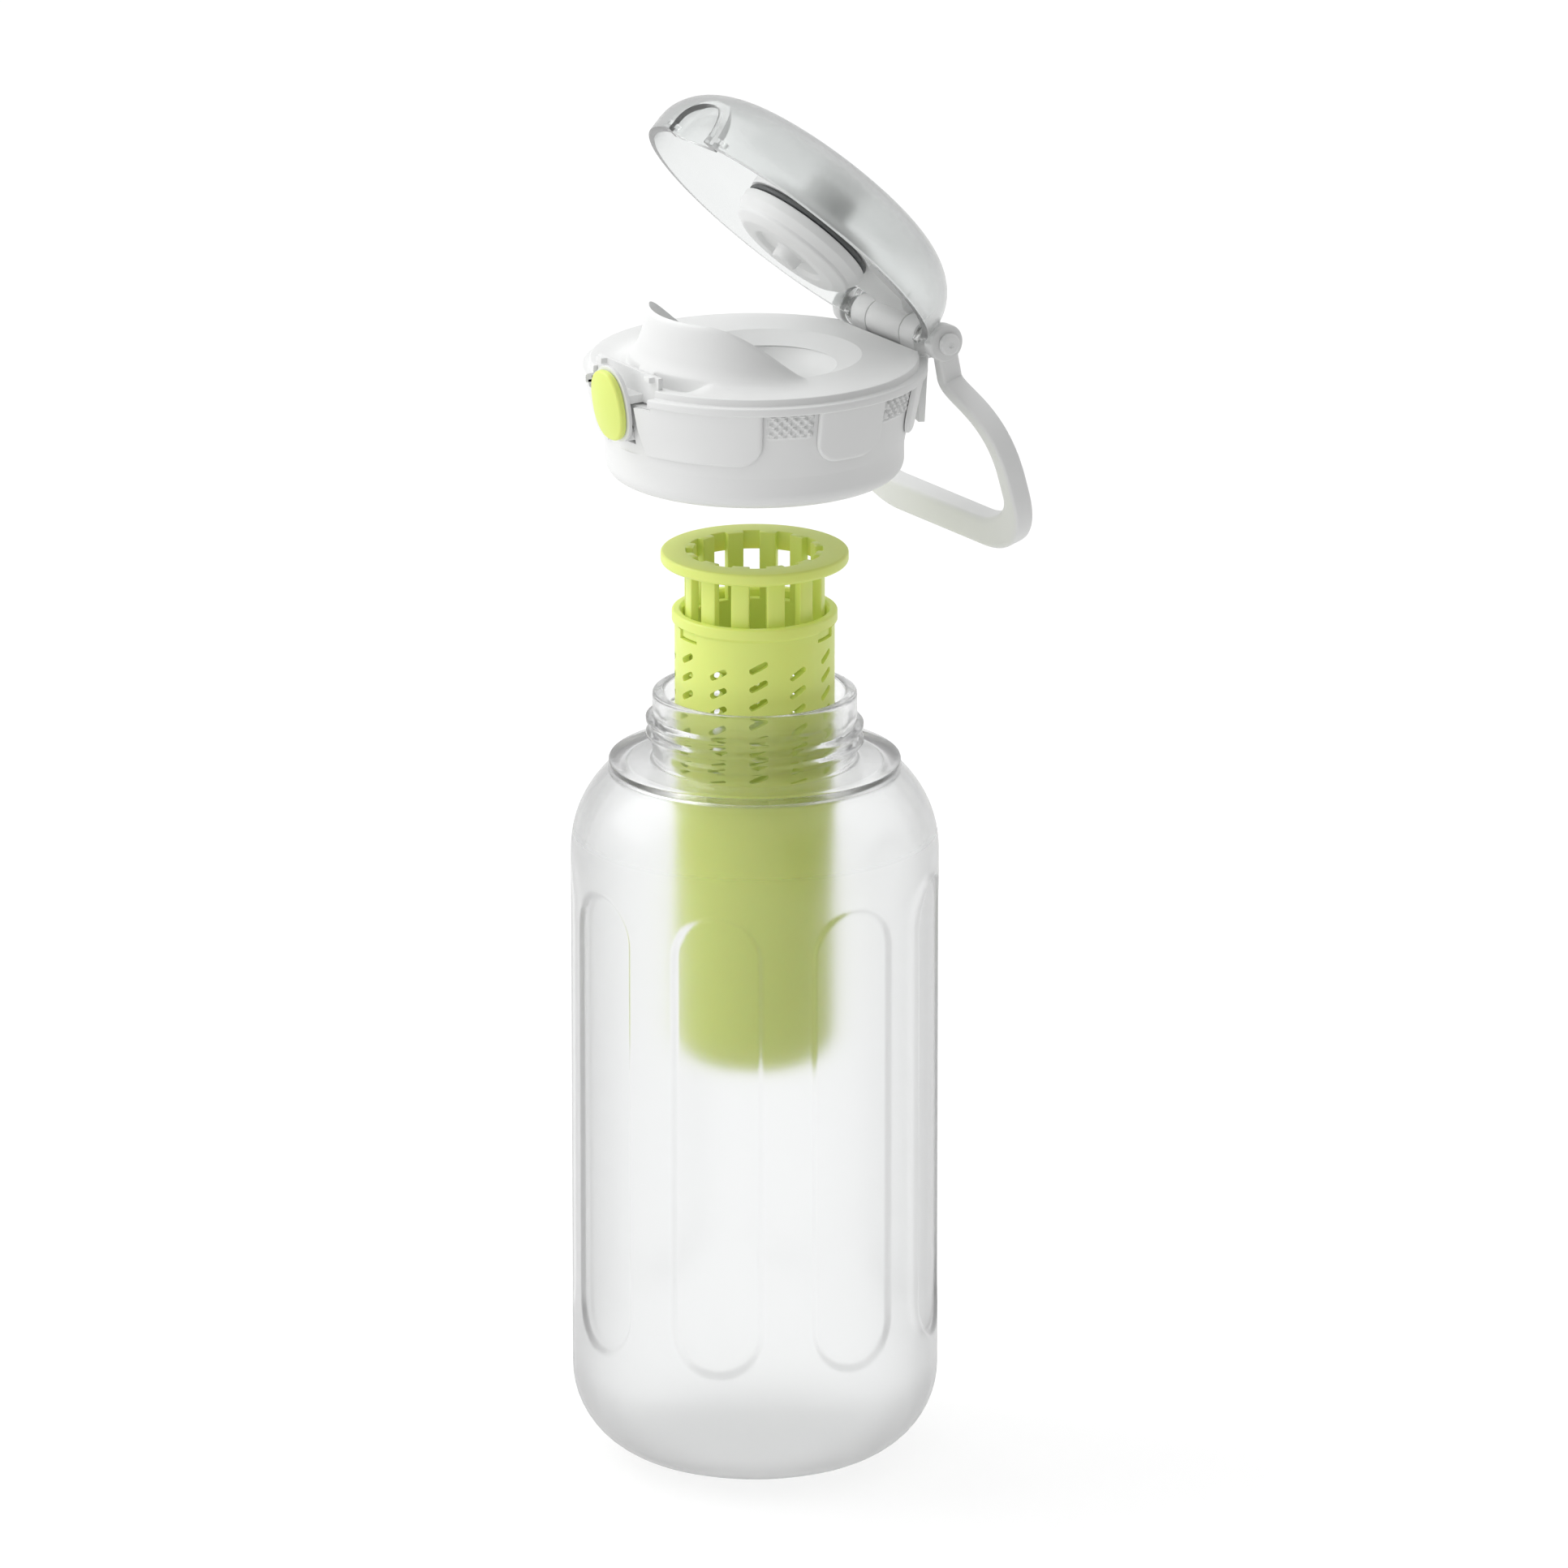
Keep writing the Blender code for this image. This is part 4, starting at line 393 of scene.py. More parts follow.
paleSilicone = plastic("paleSilicone", finishes["paleSilicone"])
steel = plastic("springSteel", finishes["steel"])
bodyClear = clearPlastic("clearBody", finishes["bodyClear"])
capClear = clearPlastic("clearCap", finishes["capClear"])
print("materials ready")


# camera, light and floor

studio = {
    "world": 0.85,
    # each light's name, turn from the camera, elevation, distance and size in metres, and power
    "lights": (("keyLight", -95.0, 36.0, 1.4, 1.0, 7.0), ("topLight", -130.0, 58.0, 1.3, 1.0, 4.0)),
    "lookHeight": 180.0,
    "cardTurn": 50.0, "cardAway": 550.0, "cardHalf": 300.0, "cardLow": 20.0, "cardHigh": 720.0,
    "cardShade": 0.01, "floorRadius": 4000.0, "floorDrop": 0.4, "floorShade": 0.25, "floorGlow": 0.80,
}


# the direction from the object towards a viewer at an azimuth and an elevation in degrees
def towards(azimuth, elevation):
    a, e = math.radians(azimuth), math.radians(elevation)
    return Vector((math.sin(a) * math.cos(e), -math.cos(a) * math.cos(e), math.sin(e)))


def makeCamera():
    azimuth = math.radians(camera["azimuth"])
    back = towards(camera["azimuth"], camera["elevation"])
    right = Vector((math.cos(azimuth), math.sin(azimuth), 0.0))
    target = right * camera["right"] + Vector((0.0, 0.0, camera["height"]))
    away = camera["field"] * camera["lens"] / camera["sensor"]
    data = bpy.data.cameras.new("viewCamera")
    data.lens, data.sensor_width = camera["lens"], camera["sensor"]
    data.clip_start, data.clip_end = 0.1, 50.0
    made = bpy.data.objects.new("viewCamera", data)
    bpy.context.scene.collection.objects.link(made)
    made.location = (target + back * away) * millimetre
    made.rotation_mode = "QUATERNION"
    made.rotation_quaternion = (-back).to_track_quat("-Z", "Y")
    bpy.context.scene.camera = made


# a soft square light that looks at the object's middle; angles are measured like the camera's
def softLight(name, azimuth, elevation, distance, size, power):
    back = towards(azimuth, elevation)
    data = bpy.data.lights.new(name, "AREA")
    data.energy, data.size = power, size
    made = bpy.data.objects.new(name, data)
    bpy.context.scene.collection.objects.link(made)
    made.location = Vector((0.0, 0.0, studio["lookHeight"] * millimetre)) + back * distance
    made.rotation_mode = "QUATERNION"
    made.rotation_quaternion = (-back).to_track_quat("-Z", "Y")


def makeStudio():
    scene = bpy.context.scene
    scene.view_settings.view_transform = "Standard"
    world = bpy.data.worlds.new("studio")
    scene.world = world
    world.use_nodes = True
    world.node_tree.nodes["Background"].inputs["Color"].default_value = (1.0, 1.0, 1.0, 1.0)
    world.node_tree.nodes["Background"].inputs["Strength"].default_value = studio["world"]
    for name, turn, elevation, distance, size, power in studio["lights"]:
        softLight(name, camera["azimuth"] + turn, elevation, distance, size, power)
    # a black card out of the picture on the right keeps the sides that face it in shade
    turn = math.radians(camera["azimuth"] + studio["cardTurn"])
    middle = np.array([math.sin(turn), -math.cos(turn)]) * studio["cardAway"]
    across = np.array([math.cos(turn), math.sin(turn)]) * studio["cardHalf"]
    heights = (studio["cardLow"], studio["cardHigh"])
    corners = [[(*(middle + across * way), height) for way in (-1.0, 1.0)] for height in heights]
    card = makeObject("card", [gridPatch(np.array(corners))], None, outwards=False)
    black = bpy.data.materials.new("blackCard")
    black.use_nodes = True
    shader = black.node_tree.nodes["Principled BSDF"]
    shader.inputs["Base Color"].default_value = (*[studio["cardShade"]] * 3, 1.0)
    card.data.materials[0] = black
    # the floor is a wide disc: a bright pale sheet that stays white round the object
    low = -studio["floorDrop"]
    sheet = turned([(0.0, low), (studio["floorRadius"], low)], evenTurn(96))
    floorDisc = makeObject("floor", [gridPatch(sheet, wrapColumns=True)], None, outwards=False)
    made = bpy.data.materials.new("paleFloor")
    made.use_nodes = True
    shader = made.node_tree.nodes["Principled BSDF"]
    shader.inputs["Base Color"].default_value = (*[studio["floorShade"]] * 3, 1.0)
    shader.inputs["Roughness"].default_value = 1.0
    shader.inputs["Specular IOR Level"].default_value = 0.0
    shader.inputs["Emission Color"].default_value = (1.0, 1.0, 1.0, 1.0)
    shader.inputs["Emission Strength"].default_value = studio["floorGlow"]
    floorDisc.data.materials[0] = made


makeCamera()
makeStudio()
print("camera and studio ready")


# bottle

bottle = {
    "radius": 45.0, "wall": 2.6, "floor": 4.0, "baseFlat": 23.0, "straightLow": 22.6, "straightTop": 153.0,
    "shoulder": ((45.0, 154.0), (45.0, 165.02), (39.51, 171.49), (35.7, 175.2)),
    "deck": 177.7, "deckRadius": 35.7, "deckRound": 0.45, "innerDeck": 31.4, "innerDeckRound": 1.5,
    "neck": 25.0, "neckFoot": 0.9, "innerFoot": 1.2, "bore": 22.0, "rim": 194.7, "rimRound": 0.8,
    "boreJoin": 191.0, "flutes": 8, "fluteLow": 32.5, "fluteLength": 117.4, "fluteHalf": 11.2,
    "fluteDepth": 1.0, "fluteEdge": 1.7, "edgeInShare": 0.65, "edgeOutShare": 0.35,
    "pitch": 3.6, "threadTurns": 2.3, "threadStart": 180.9, "threadProud": 1.6, "threadHalf": 1.25,
    # columns over half of the round that one flute takes: from, to and how many
    "columnStops": ((0.0, 4.0, 4), (4.0, 9.4, 9), (9.4, 13.0, 12), (13.0, 17.67, 6)),
    # rows crowd from past a flute's end to well inside it
    "rowPast": 0.8, "rowCrowd": 12.5, "rowCalm": 22.0,
}
threadCrestShare = 0.3          # of a thread's half width
threadFade = 0.09               # of a turn, at each end of a thread


# how deep a flute is at an angle and a height: the signed distance to a long round-ended outline, smoothed
# over its edge
def fluteDepth(angles, heights):
    step = fullTurn / bottle["flutes"]
    across = ((angles + step / 2.0) % step - step / 2.0) * bottle["radius"]
    middle = bottle["fluteLow"] + bottle["fluteLength"] / 2.0
    straight = bottle["fluteLength"] / 2.0 - bottle["fluteHalf"]
    beyond = np.maximum(np.abs(heights - middle) - straight, 0.0)
    inside = bottle["fluteHalf"] - np.hypot(across, beyond)
    edge = bottle["fluteEdge"]
    return bottle["fluteDepth"] * ramp(-bottle["edgeOutShare"] * edge, bottle["edgeInShare"] * edge, inside)


# how proud the thread is, as a share: a helix climbs one pitch a turn, and the distance to its nearest turn
# gives a rounded ridge
def threadProud(angles, heights, start, pitch, turns, half):
    climb = (heights - start) / pitch - angles / fullTurn
    nearest = np.clip(np.round(climb), 0, math.floor(turns))
    travelled = nearest + angles / fullTurn
    ridge = 1.0 - ramp(threadCrestShare * half, half, np.abs(climb - nearest) * pitch)
    return ridge * ramp(0.0, threadFade, travelled) * ramp(0.0, threadFade, turns - travelled)


def makeBottle():
    wall, radius, flat = bottle["wall"], bottle["radius"], bottle["baseFlat"]
    step = fullTurn / bottle["flutes"]
    # columns crowd at the flutes' edges, rows at their round ends
    stops = bottle["columnStops"]
    half = np.concatenate([np.linspace(*stop)[min(k, 1):] for k, stop in enumerate(stops)])
    half = half / stops[-1][1] * step / 2.0
    period = np.concatenate([half, step - half[1:-1][::-1]])
    angles = (np.arange(bottle["flutes"])[:, None] * step + period).ravel()
    neckLine = rounded([
        (bottle["bore"], bottle["boreJoin"]), (bottle["bore"], bottle["rim"], bottle["rimRound"]),
        (bottle["neck"], bottle["rim"], bottle["rimRound"]),
        (bottle["neck"], bottle["deck"], bottle["neckFoot"]),
        (bottle["deckRadius"], bottle["deck"], bottle["deckRound"]), bottle["shoulder"][3],
    ], steps=4)
    neckLine = refined(neckLine, 0.34)
    # the flat deck needs only every eighth of those points
    onDeck = (neckLine[:, 0] > bottle["neck"] + 1.2) & (np.abs(neckLine[:, 1] - bottle["deck"]) < emptyReach)
    neckLine = neckLine[~onDeck | np.isin(neckLine[:, 0], neckLine[onDeck][::8, 0])]
    shoulder = cubic(bottle["shoulder"][::-1], 28)[1:]
    low, high = bottle["fluteLow"], bottle["fluteLow"] + bottle["fluteLength"]
    past, crowd, calm = bottle["rowPast"], bottle["rowCrowd"], bottle["rowCalm"]
    straight = np.concatenate([
        np.linspace(bottle["straightTop"], high + 1.0, 4), np.linspace(high + past, high - crowd, 27),
        np.linspace(high - calm, low + calm, 7), np.linspace(low + crowd, low - past, 27),
        np.linspace(low - 1.5, bottle["straightLow"], 5),
    ])
    rise = radius - flat
    base = arcPoints((flat, rise), (rise, rise), 0.0, -90.0, 16)
    side = np.column_stack([np.full(len(straight), radius), straight])
    outer = np.concatenate([neckLine, shoulder, side, base, [(0.0, 0.0)]])
    points = turned(outer, angles)
    radial = points[..., :2].copy()
    reach = np.maximum(np.hypot(radial[..., 0], radial[..., 1]), 1e-9)
    heights = outer[:, 1][:, None] + np.zeros_like(angles)
    depth = np.where(outer[:, :1] > radius - 0.01, fluteDepth(angles, heights), 0.0)
    onNeck = (outer[:, :1] > bottle["neck"] - 0.01) & (outer[:, :1] < bottle["neck"] + 0.01)
    proud = threadProud(
        angles, heights, bottle["threadStart"], bottle["pitch"], bottle["threadTurns"], bottle["threadHalf"],
    )
    change = np.where(onNeck, bottle["threadProud"] * proud, 0.0) - depth
    points[..., :2] = radial * ((reach + change) / reach)[..., None]

    # the inside keeps one wall's distance from the outside
    innerRise = radius - wall - flat
    innerBase, innerDeck = bottle["floor"] + innerRise, bottle["deck"] - wall
    innerShoulder = cubic(bottle["shoulder"], 16)
    along = np.gradient(innerShoulder, axis=0)
    along /= np.linalg.norm(along, axis=1, keepdims=True)
    innerShoulder = innerShoulder + np.column_stack([-along[:, 1], along[:, 0]]) * wall
    innerShoulder = innerShoulder[innerShoulder[:, 1] < innerDeck - 1.0]
    inner = np.concatenate([
        [(0.0, bottle["floor"])], arcPoints((flat, innerBase), (innerRise, innerRise), -90.0, 0.0, 16),
        refined([(radius - wall, innerBase + 1.0), (radius - wall, bottle["straightTop"])], 12.0),
        innerShoulder,
        rounded([
            innerShoulder[-1], (bottle["innerDeck"], innerDeck, bottle["innerDeckRound"]),
            (bottle["bore"], innerDeck, bottle["innerFoot"]), (bottle["bore"], bottle["boreJoin"] - 0.1),
        ], steps=4)[1:],
    ])
    coarse = angles[::4]
    innerPoints = turned(inner, coarse)
    outerPatch = gridPatch(points, wrapColumns=True)
    innerPatch = gridPatch(innerPoints, wrapColumns=True)
    # the last inner ring meets the first outer ring, four outer columns to one inner column
    count, coarseCount = len(angles), len(coarse)
    firstInner = len(outerPatch[0]) + (len(inner) - 1) * coarseCount
    j = np.arange(coarseCount)
    outerCorners = [(4 * j + k) % count for k in (4, 3, 2, 1, 0)]
    joint = np.stack([firstInner + j, firstInner + (j + 1) % coarseCount] + outerCorners, -1).tolist()
    vertices = np.concatenate([outerPatch[0], innerPatch[0]])
    shifted = [[corner + len(outerPatch[0]) for corner in face] for face in innerPatch[1]]
    made = makeObject("bottleShell", [(vertices, outerPatch[1] + shifted + joint)], bodyClear, sharp=50.0)
    return seat(made, "bottle", "clear_plastic", "bottle_body")


makeBottle()


# infuser

infuser = {
    "flangeRadius": 22.9, "flangeThick": 3.0, "sleeveOuter": 17.15, "sleeveInner": 15.0, "sleeveLength": 24.0,
    "windows": 12, "windowWidth": 4.4, "windowTop": -1.7, "windowHeight": 12.1,
    "tubeOuter": 19.5, "tubeWall": 1.8, "tubeTop": -11.7, "tubeLength": 114.6, "beadRadius": 20.2,
    "bottomRound": 8.0, "beadDepth": 2.7, "beadFade": 3.4, "lipChamfer": 0.7,
    "slotColumns": 12, "slotRows": 7, "slotLength": 5.0, "slotHeight": 1.6, "slotPitch": 4.65,
    "slotDrop": 9.8, "slotSlant": 28.0, "snapCount": 3, "snapWidth": 7.4, "snapHeight": 3.0, "snapDrop": 4.1,
    "snapPlay": 0.7, "snapSunk": 0.55,
}


# a bent bar of a round wall: a rounded section (radius, height) carried over a span of angles
def wallPiece(angleLow, angleHigh, radiusLow, radiusHigh, low, high, columns, edge=0.3):
    section = rounded([
        (radiusLow, low, edge), (radiusHigh, low, edge), (radiusHigh, high, edge), (radiusLow, high, edge),
    ], closed=True, steps=3)
    bent = np.swapaxes(turned(section, np.linspace(angleLow, angleHigh, columns)), 0, 1)
    return gridPatch(bent, wrapColumns=True, caps=True)


def makeInfuserCollar():
    lift, rim = place["flange"], infuser["flangeRadius"]
    inner, outer = infuser["sleeveInner"], infuser["sleeveOuter"]
    top, bottom = lift + infuser["flangeThick"], lift - infuser["sleeveLength"]
    windowTop = infuser["windowTop"] + lift
    flange = rounded([
        (outer - 0.4, windowTop, 0.25), (outer, windowTop, 0.25), (outer, lift, 0.4), (rim, lift, 0.9),
        (rim, top, 0.7), (outer - 0.4, top, 0.3),
    ], closed=True, steps=5)
    low = lift + infuser["windowTop"] - infuser["windowHeight"]
    lower = rounded([
        (inner, bottom, 0.4), (outer, bottom, 0.4), (outer, low, 0.25), (inner, low, 0.25),
    ], closed=True, steps=3)
    around = evenTurn(192)
    patches = [gridPatch(turned(line, around), wrapRows=True, wrapColumns=True) for line in (flange, lower)]
    # the bars between the windows: a rounded section in plan, pulled from the lower ring up into the flange
    step = fullTurn / infuser["windows"]
    half = step / 2.0 - infuser["windowWidth"] / 2.0 / outer
    for k in range(infuser["windows"]):
        middle = np.pi / 2.0 + (k + 0.5) * step
        plan = rounded([
            ((middle - half) * outer, inner, 0.3), ((middle + half) * outer, inner, 0.3),
            ((middle + half) * outer, outer, 0.3), ((middle - half) * outer, outer, 0.3),
        ], closed=True, steps=3)
        plan = refined(np.vstack([plan, plan[:1]]), 1.0)[:-1]
        turn, radius = plan[:, 0] / outer, plan[:, 1]
        # each bar ends in a tooth level with the flange, its top edge slightly rounded towards the bore
        rows = []
        for z, inset in ((low - 0.3, 0.0), (top - 0.5, 0.0), (top - 0.15, 0.12), (top - 0.02, 0.4)):
            shrunk = radius + inset * (radius < inner + 0.4)
            rows.append(np.stack([shrunk * np.sin(turn), -shrunk * np.cos(turn), np.full(len(plan), z)], -1))
        patches.append(gridPatch(np.stack(rows), wrapColumns=True, caps=True))
    # the snap lugs that stand in the tube's windows
    span = (infuser["snapWidth"] - infuser["snapPlay"]) / 2.0 / infuser["tubeOuter"]
    tall = (infuser["snapHeight"] - infuser["snapPlay"]) / 2.0
    snap, reach = lift + infuser["tubeTop"] - infuser["snapDrop"], infuser["tubeOuter"] - infuser["snapSunk"]
    for k in range(infuser["snapCount"]):
        middle = k * fullTurn / infuser["snapCount"]
        turns, heights = (middle - span, middle + span), (snap - tall, snap + tall)
        patches.append(wallPiece(*turns, outer - 0.8, reach, *heights, 12, 0.35))
    made = makeObject("infuserSleeve", patches, lime)
    return seat(made, "infuser", "lime_plastic", "infuser_collar")


# cells of the slotted wall as grids: rings of points run from a round-ended slanted slot to the cell's edges
def slotCells(middles, heights, halfAngle, halfHeight, radius, slot, count=32, rings=4):
    t = evenTurn(count)
    length, height, slant = slot
    # the slot: a round-ended bar, its end radius half its height
    end = height / 2.0
    bar = length / 2.0 - end
    x = bar * np.sign(np.cos(t)) * np.minimum(np.abs(np.cos(t)) * 3.0, 1.0) + end * np.cos(t)
    y = end * np.sin(t)
    slotX = x * math.cos(slant) - y * math.sin(slant)
    slotY = x * math.sin(slant) + y * math.cos(slant)
    # the cell's edge: the same directions pushed out to a rectangle
    reach = 1.0 / np.maximum(np.abs(np.cos(t)), np.abs(np.sin(t)))
    cellX = halfAngle * radius * np.clip(np.cos(t) * reach, -1.0, 1.0)
    cellY = halfHeight * np.clip(np.sin(t) * reach, -1.0, 1.0)
    share = (np.linspace(0.0, 1.0, rings) ** 1.4)[:, None]
    acrossWall = slotX * (1.0 - share) + cellX * share
    upWall = slotY * (1.0 - share) + cellY * share
    turn = middles[:, None, None] + acrossWall / radius
    z = heights[:, None, None] + upWall + np.zeros_like(turn)
    return turn, z


def makeInfuserTube():
    lift = place["flange"]
    outer, inner = infuser["tubeOuter"], infuser["tubeOuter"] - infuser["tubeWall"]
    top = lift + infuser["tubeTop"]
    bottom = top - infuser["tubeLength"]
    zoneHigh = top - infuser["slotDrop"] + infuser["slotPitch"] / 2.0
    zoneLow = zoneHigh - (infuser["slotRows"] + 0.5) * infuser["slotPitch"]
    around = evenTurn(192)
    patches = []
    # below the slots: the plain wall and the round bottom, outside and inside
    low = bottom + infuser["bottomRound"]
    walls = []
    for radius, floor, count in ((outer, bottom, 10), (inner, bottom + infuser["tubeWall"], 8)):
        turn = low - floor
        walls.append(np.concatenate([
            refined([(radius, zoneLow), (radius, low)], 6.0),
            arcPoints((radius - turn, low), (turn, turn), 0.0, -90.0, count)[1:], [(0.0, floor)],
        ]))
    # above the slots: the wall up to the bead and over the lip
    bead, chamfer = infuser["beadRadius"], infuser["lipChamfer"]
    upper = rounded([
        (outer, zoneHigh), (outer, top - infuser["beadFade"], 0.4), (bead, top - infuser["beadDepth"], 0.4),
        (bead, top, 0.6), (inner + chamfer, top, 0.3), (inner, top - chamfer, 0.2), (inner, zoneHigh),
    ], steps=4)
    for line in (*walls, refined(upper, 2.0)):
        patches.append(gridPatch(turned(line, around), wrapColumns=True))
    # the slotted zone: staggered cells, and plain half cells above and below them
    step = fullTurn / infuser["slotColumns"]
    pitch = infuser["slotPitch"]
    slot = (infuser["slotLength"], infuser["slotHeight"], math.radians(infuser["slotSlant"]))
    middles, heights = [], []
    for k in range(infuser["slotColumns"]):
        shift = pitch / 2.0 if k % 2 == 0 else 0.0
        for row in range(infuser["slotRows"]):
            middles.append(np.pi / 2.0 + k * step)
            heights.append(zoneHigh - pitch / 2.0 - shift - row * pitch)
        low, high = (zoneHigh - pitch / 2.0, zoneHigh) if shift else (zoneLow, zoneLow + pitch / 2.0)
        strip = np.pi / 2.0 + k * step + np.linspace(-step / 2.0, step / 2.0, 9)
        for radius in (outer, inner):
            patches.append(gridPatch(turned([(radius, low), (radius, high)], strip)))
    turn, z = slotCells(np.array(middles), np.array(heights), step / 2.0, pitch / 2.0, outer, slot)
    outerWall = np.stack([outer * np.sin(turn), -outer * np.cos(turn), z], -1)
    innerWall = np.stack([inner * np.sin(turn), -inner * np.cos(turn), z], -1)
    # the slot's own wall goes from the outer ring to the inner ring, with one more ring near the outer one
    nearShare = 0.22
    near = outerWall[:, 0] * (1 - nearShare) + innerWall[:, 0] * nearShare
    edges = np.stack([outerWall[:, 0], near, innerWall[:, 0]], 1)
    for walls in (outerWall, innerWall, edges):
        for cell in walls:
            patches.append(gridPatch(cell, wrapColumns=True))
    made = makeObject("infuserTube", patches, lime, sharp=45.0)
    cutters = []
    span, tall = infuser["snapWidth"] / 2.0 / outer, infuser["snapHeight"] / 2.0
    snap = top - infuser["snapDrop"]
    for k in range(infuser["snapCount"]):
        middle = k * fullTurn / infuser["snapCount"]
        turns, heights = (middle - span, middle + span), (snap - tall, snap + tall)
        window = wallPiece(*turns, inner - 1.0, outer + 1.5, *heights, 8)
        cutters.append(makeObject("snapCut", [window], lime))
    carve(made, cutters, sharp=45.0)
    return seat(made, "infuser", "lime_plastic", "infuser_tube")


makeInfuserCollar()
makeInfuserTube()


# lid cover

lid = {
    "band": 42.0, "bandRound": 0.5, "bandDepth": 3.9, "ledge": 1.8, "deckRadius": 39.9, "deckRound": 0.45,
    "wallTop": 40.0, "wallLow": 36.3, "wallStart": 2.7, "wallEnd": 21.0, "gap": 0.3,
    "tabProud": 1.5, "tabDepth": 17.4, "tabCorner": 6.0, "tabSoft": 0.9, "tabSkin": 0.35, "tabSunk": 0.6,
    "wideTab": 90.0,
    "tabs": ((-60.0, 60.0), (80.0, 108.0), (129.0, 158.5), (201.5, 231.0), (252.0, 280.0)),
    "height": 29.0, "bottomRound": 4.0, "socket": 27.4, "sleeve": 30.2, "groove": 33.6, "grooveHeight": 9.0,
    "ceiling": -6.4, "ceilingRadius": 22.0, "throat": 16.9, "throatLow": -2.62, "coverLow": -2.4,
    "throatLedge": 1.2, "mouthY": 3.6, "bowlDrop": 2.5, "bowlPower": 0.95,
    "dishOuter": 17.1, "dishLow": -8.7, "dishFloor": -7.5, "drinkHole": 5.0, "drinkHoleY": -6.0,
    "lipRadius": 23.0, "lipReach": 6.6, "lipHeight": 13.6, "lipFull": 25.0, "lipEnd": 80.0, "lipPower": 1.3,
    "bowlShares": ((0.0, 0.0), (0.35, 0.0), (0.7, 0.04), (0.88, 0.34), (0.95, 0.8), (1.0, 1.0)),
    "slopeShares": (
        (0.0, 1.0), (0.05, 0.93), (0.1, 0.66), (0.19, 0.36), (0.33, 0.13), (0.52, 0.02), (1.0, 0.0),
    ),
    "pocketDepth": 2.0, "pocketTurns": (5.5, 7.5, 22.0, 37.0), "pocketShares": (0.35, 0.4, 0.8, 0.85),
    "threadStart": -25.8, "threadTurns": 3.4, "threadHalf": 1.0, "threadProud": 0.62,
    "patches": ((61.5, 78.5), (109.5, 127.5), (232.5, 250.5), (281.5, 298.5)), "patchFade": 1.0,
    "hatchRadius": 39.0, "hatchPitch": 2.4, "hatchProud": 0.8, "hatchLow": -10.4, "hatchHigh": -4.4,
    "hatchFade": 0.4,
    # what is cut away, as boxes by two corners: for the hinge, the bracket and the latch's beam
    "hingeNotch": ((-17.3, 35.4, -4.0), (17.3, 50.0, 6.0)),
    "bracketNotch": ((-15.9, 29.0, -21.0), (15.9, 50.0, -3.2)),
    "beamNotch": ((-13.8, -50.0, -5.0), (13.8, -33.4, 6.5)), "cutEnd": 50.0,
    # and the hollows for the latch's bezel and its pin
    "channelHalf": 8.4, "channelLow": -18.2, "channelHigh": 7.0, "channelRound": 0.6,
    "pinRound": 2.4, "pinHalf": 4.3,
}
# shares at which the cover's rows lie, inside from the throat to the crest and outside from there to the edge
bowlRows = np.concatenate([
    [0.004, 0.015, 0.035, 0.06, 0.09], np.linspace(0.12, 0.8, 14), np.linspace(0.82, 0.97, 11),
])
slopeRows = np.concatenate([np.linspace(0.0, 0.3, 22), np.linspace(0.31, 0.9, 50), [0.95, 1.0]])


# the wall's outer radius at a height: it narrows evenly down to its end and stays upright below
def wallRadius(z):
    down = np.clip((-z - lid["wallStart"]) / (lid["wallEnd"] - lid["wallStart"]), 0.0, 1.0)
    return lid["wallTop"] - (lid["wallTop"] - lid["wallLow"]) * down


# the drinking lip at an angle: its crest's radius round the mouth and its height
def lipCrest(degrees):
    turn = np.abs((degrees + 180.0) % 360.0 - 180.0)
    ahead = np.maximum(np.cos(np.radians(turn)), 0.0)
    radius = lid["lipRadius"] + lid["lipReach"] * ahead ** lid["lipPower"]
    share = np.clip((lid["lipEnd"] - turn) / (lid["lipEnd"] - lid["lipFull"]), 0.0, 1.0)
    return radius, lid["lipHeight"] * np.sin(np.pi / 2.0 * share) ** lid["lipPower"]


# a smooth curve through a few shares, read at many places: a cubic between each two, whose slope at a share
# is a weighted mean of the slopes on both sides
def readCurve(pairs, shares):
    pairs = np.array(pairs)
    x, y = pairs[:, 0], pairs[:, 1]
    slope = np.gradient(y, x)
    k = np.clip(np.searchsorted(x, shares, side="right") - 1, 0, len(x) - 2)
    width = x[k + 1] - x[k]
    t = (shares - x[k]) / width
    return (
        y[k] * (1 + 2 * t) * (1 - t) ** 2 + slope[k] * width * t * (1 - t) ** 2
        + y[k + 1] * t * t * (3 - 2 * t) + slope[k + 1] * width * t * t * (t - 1)
    )


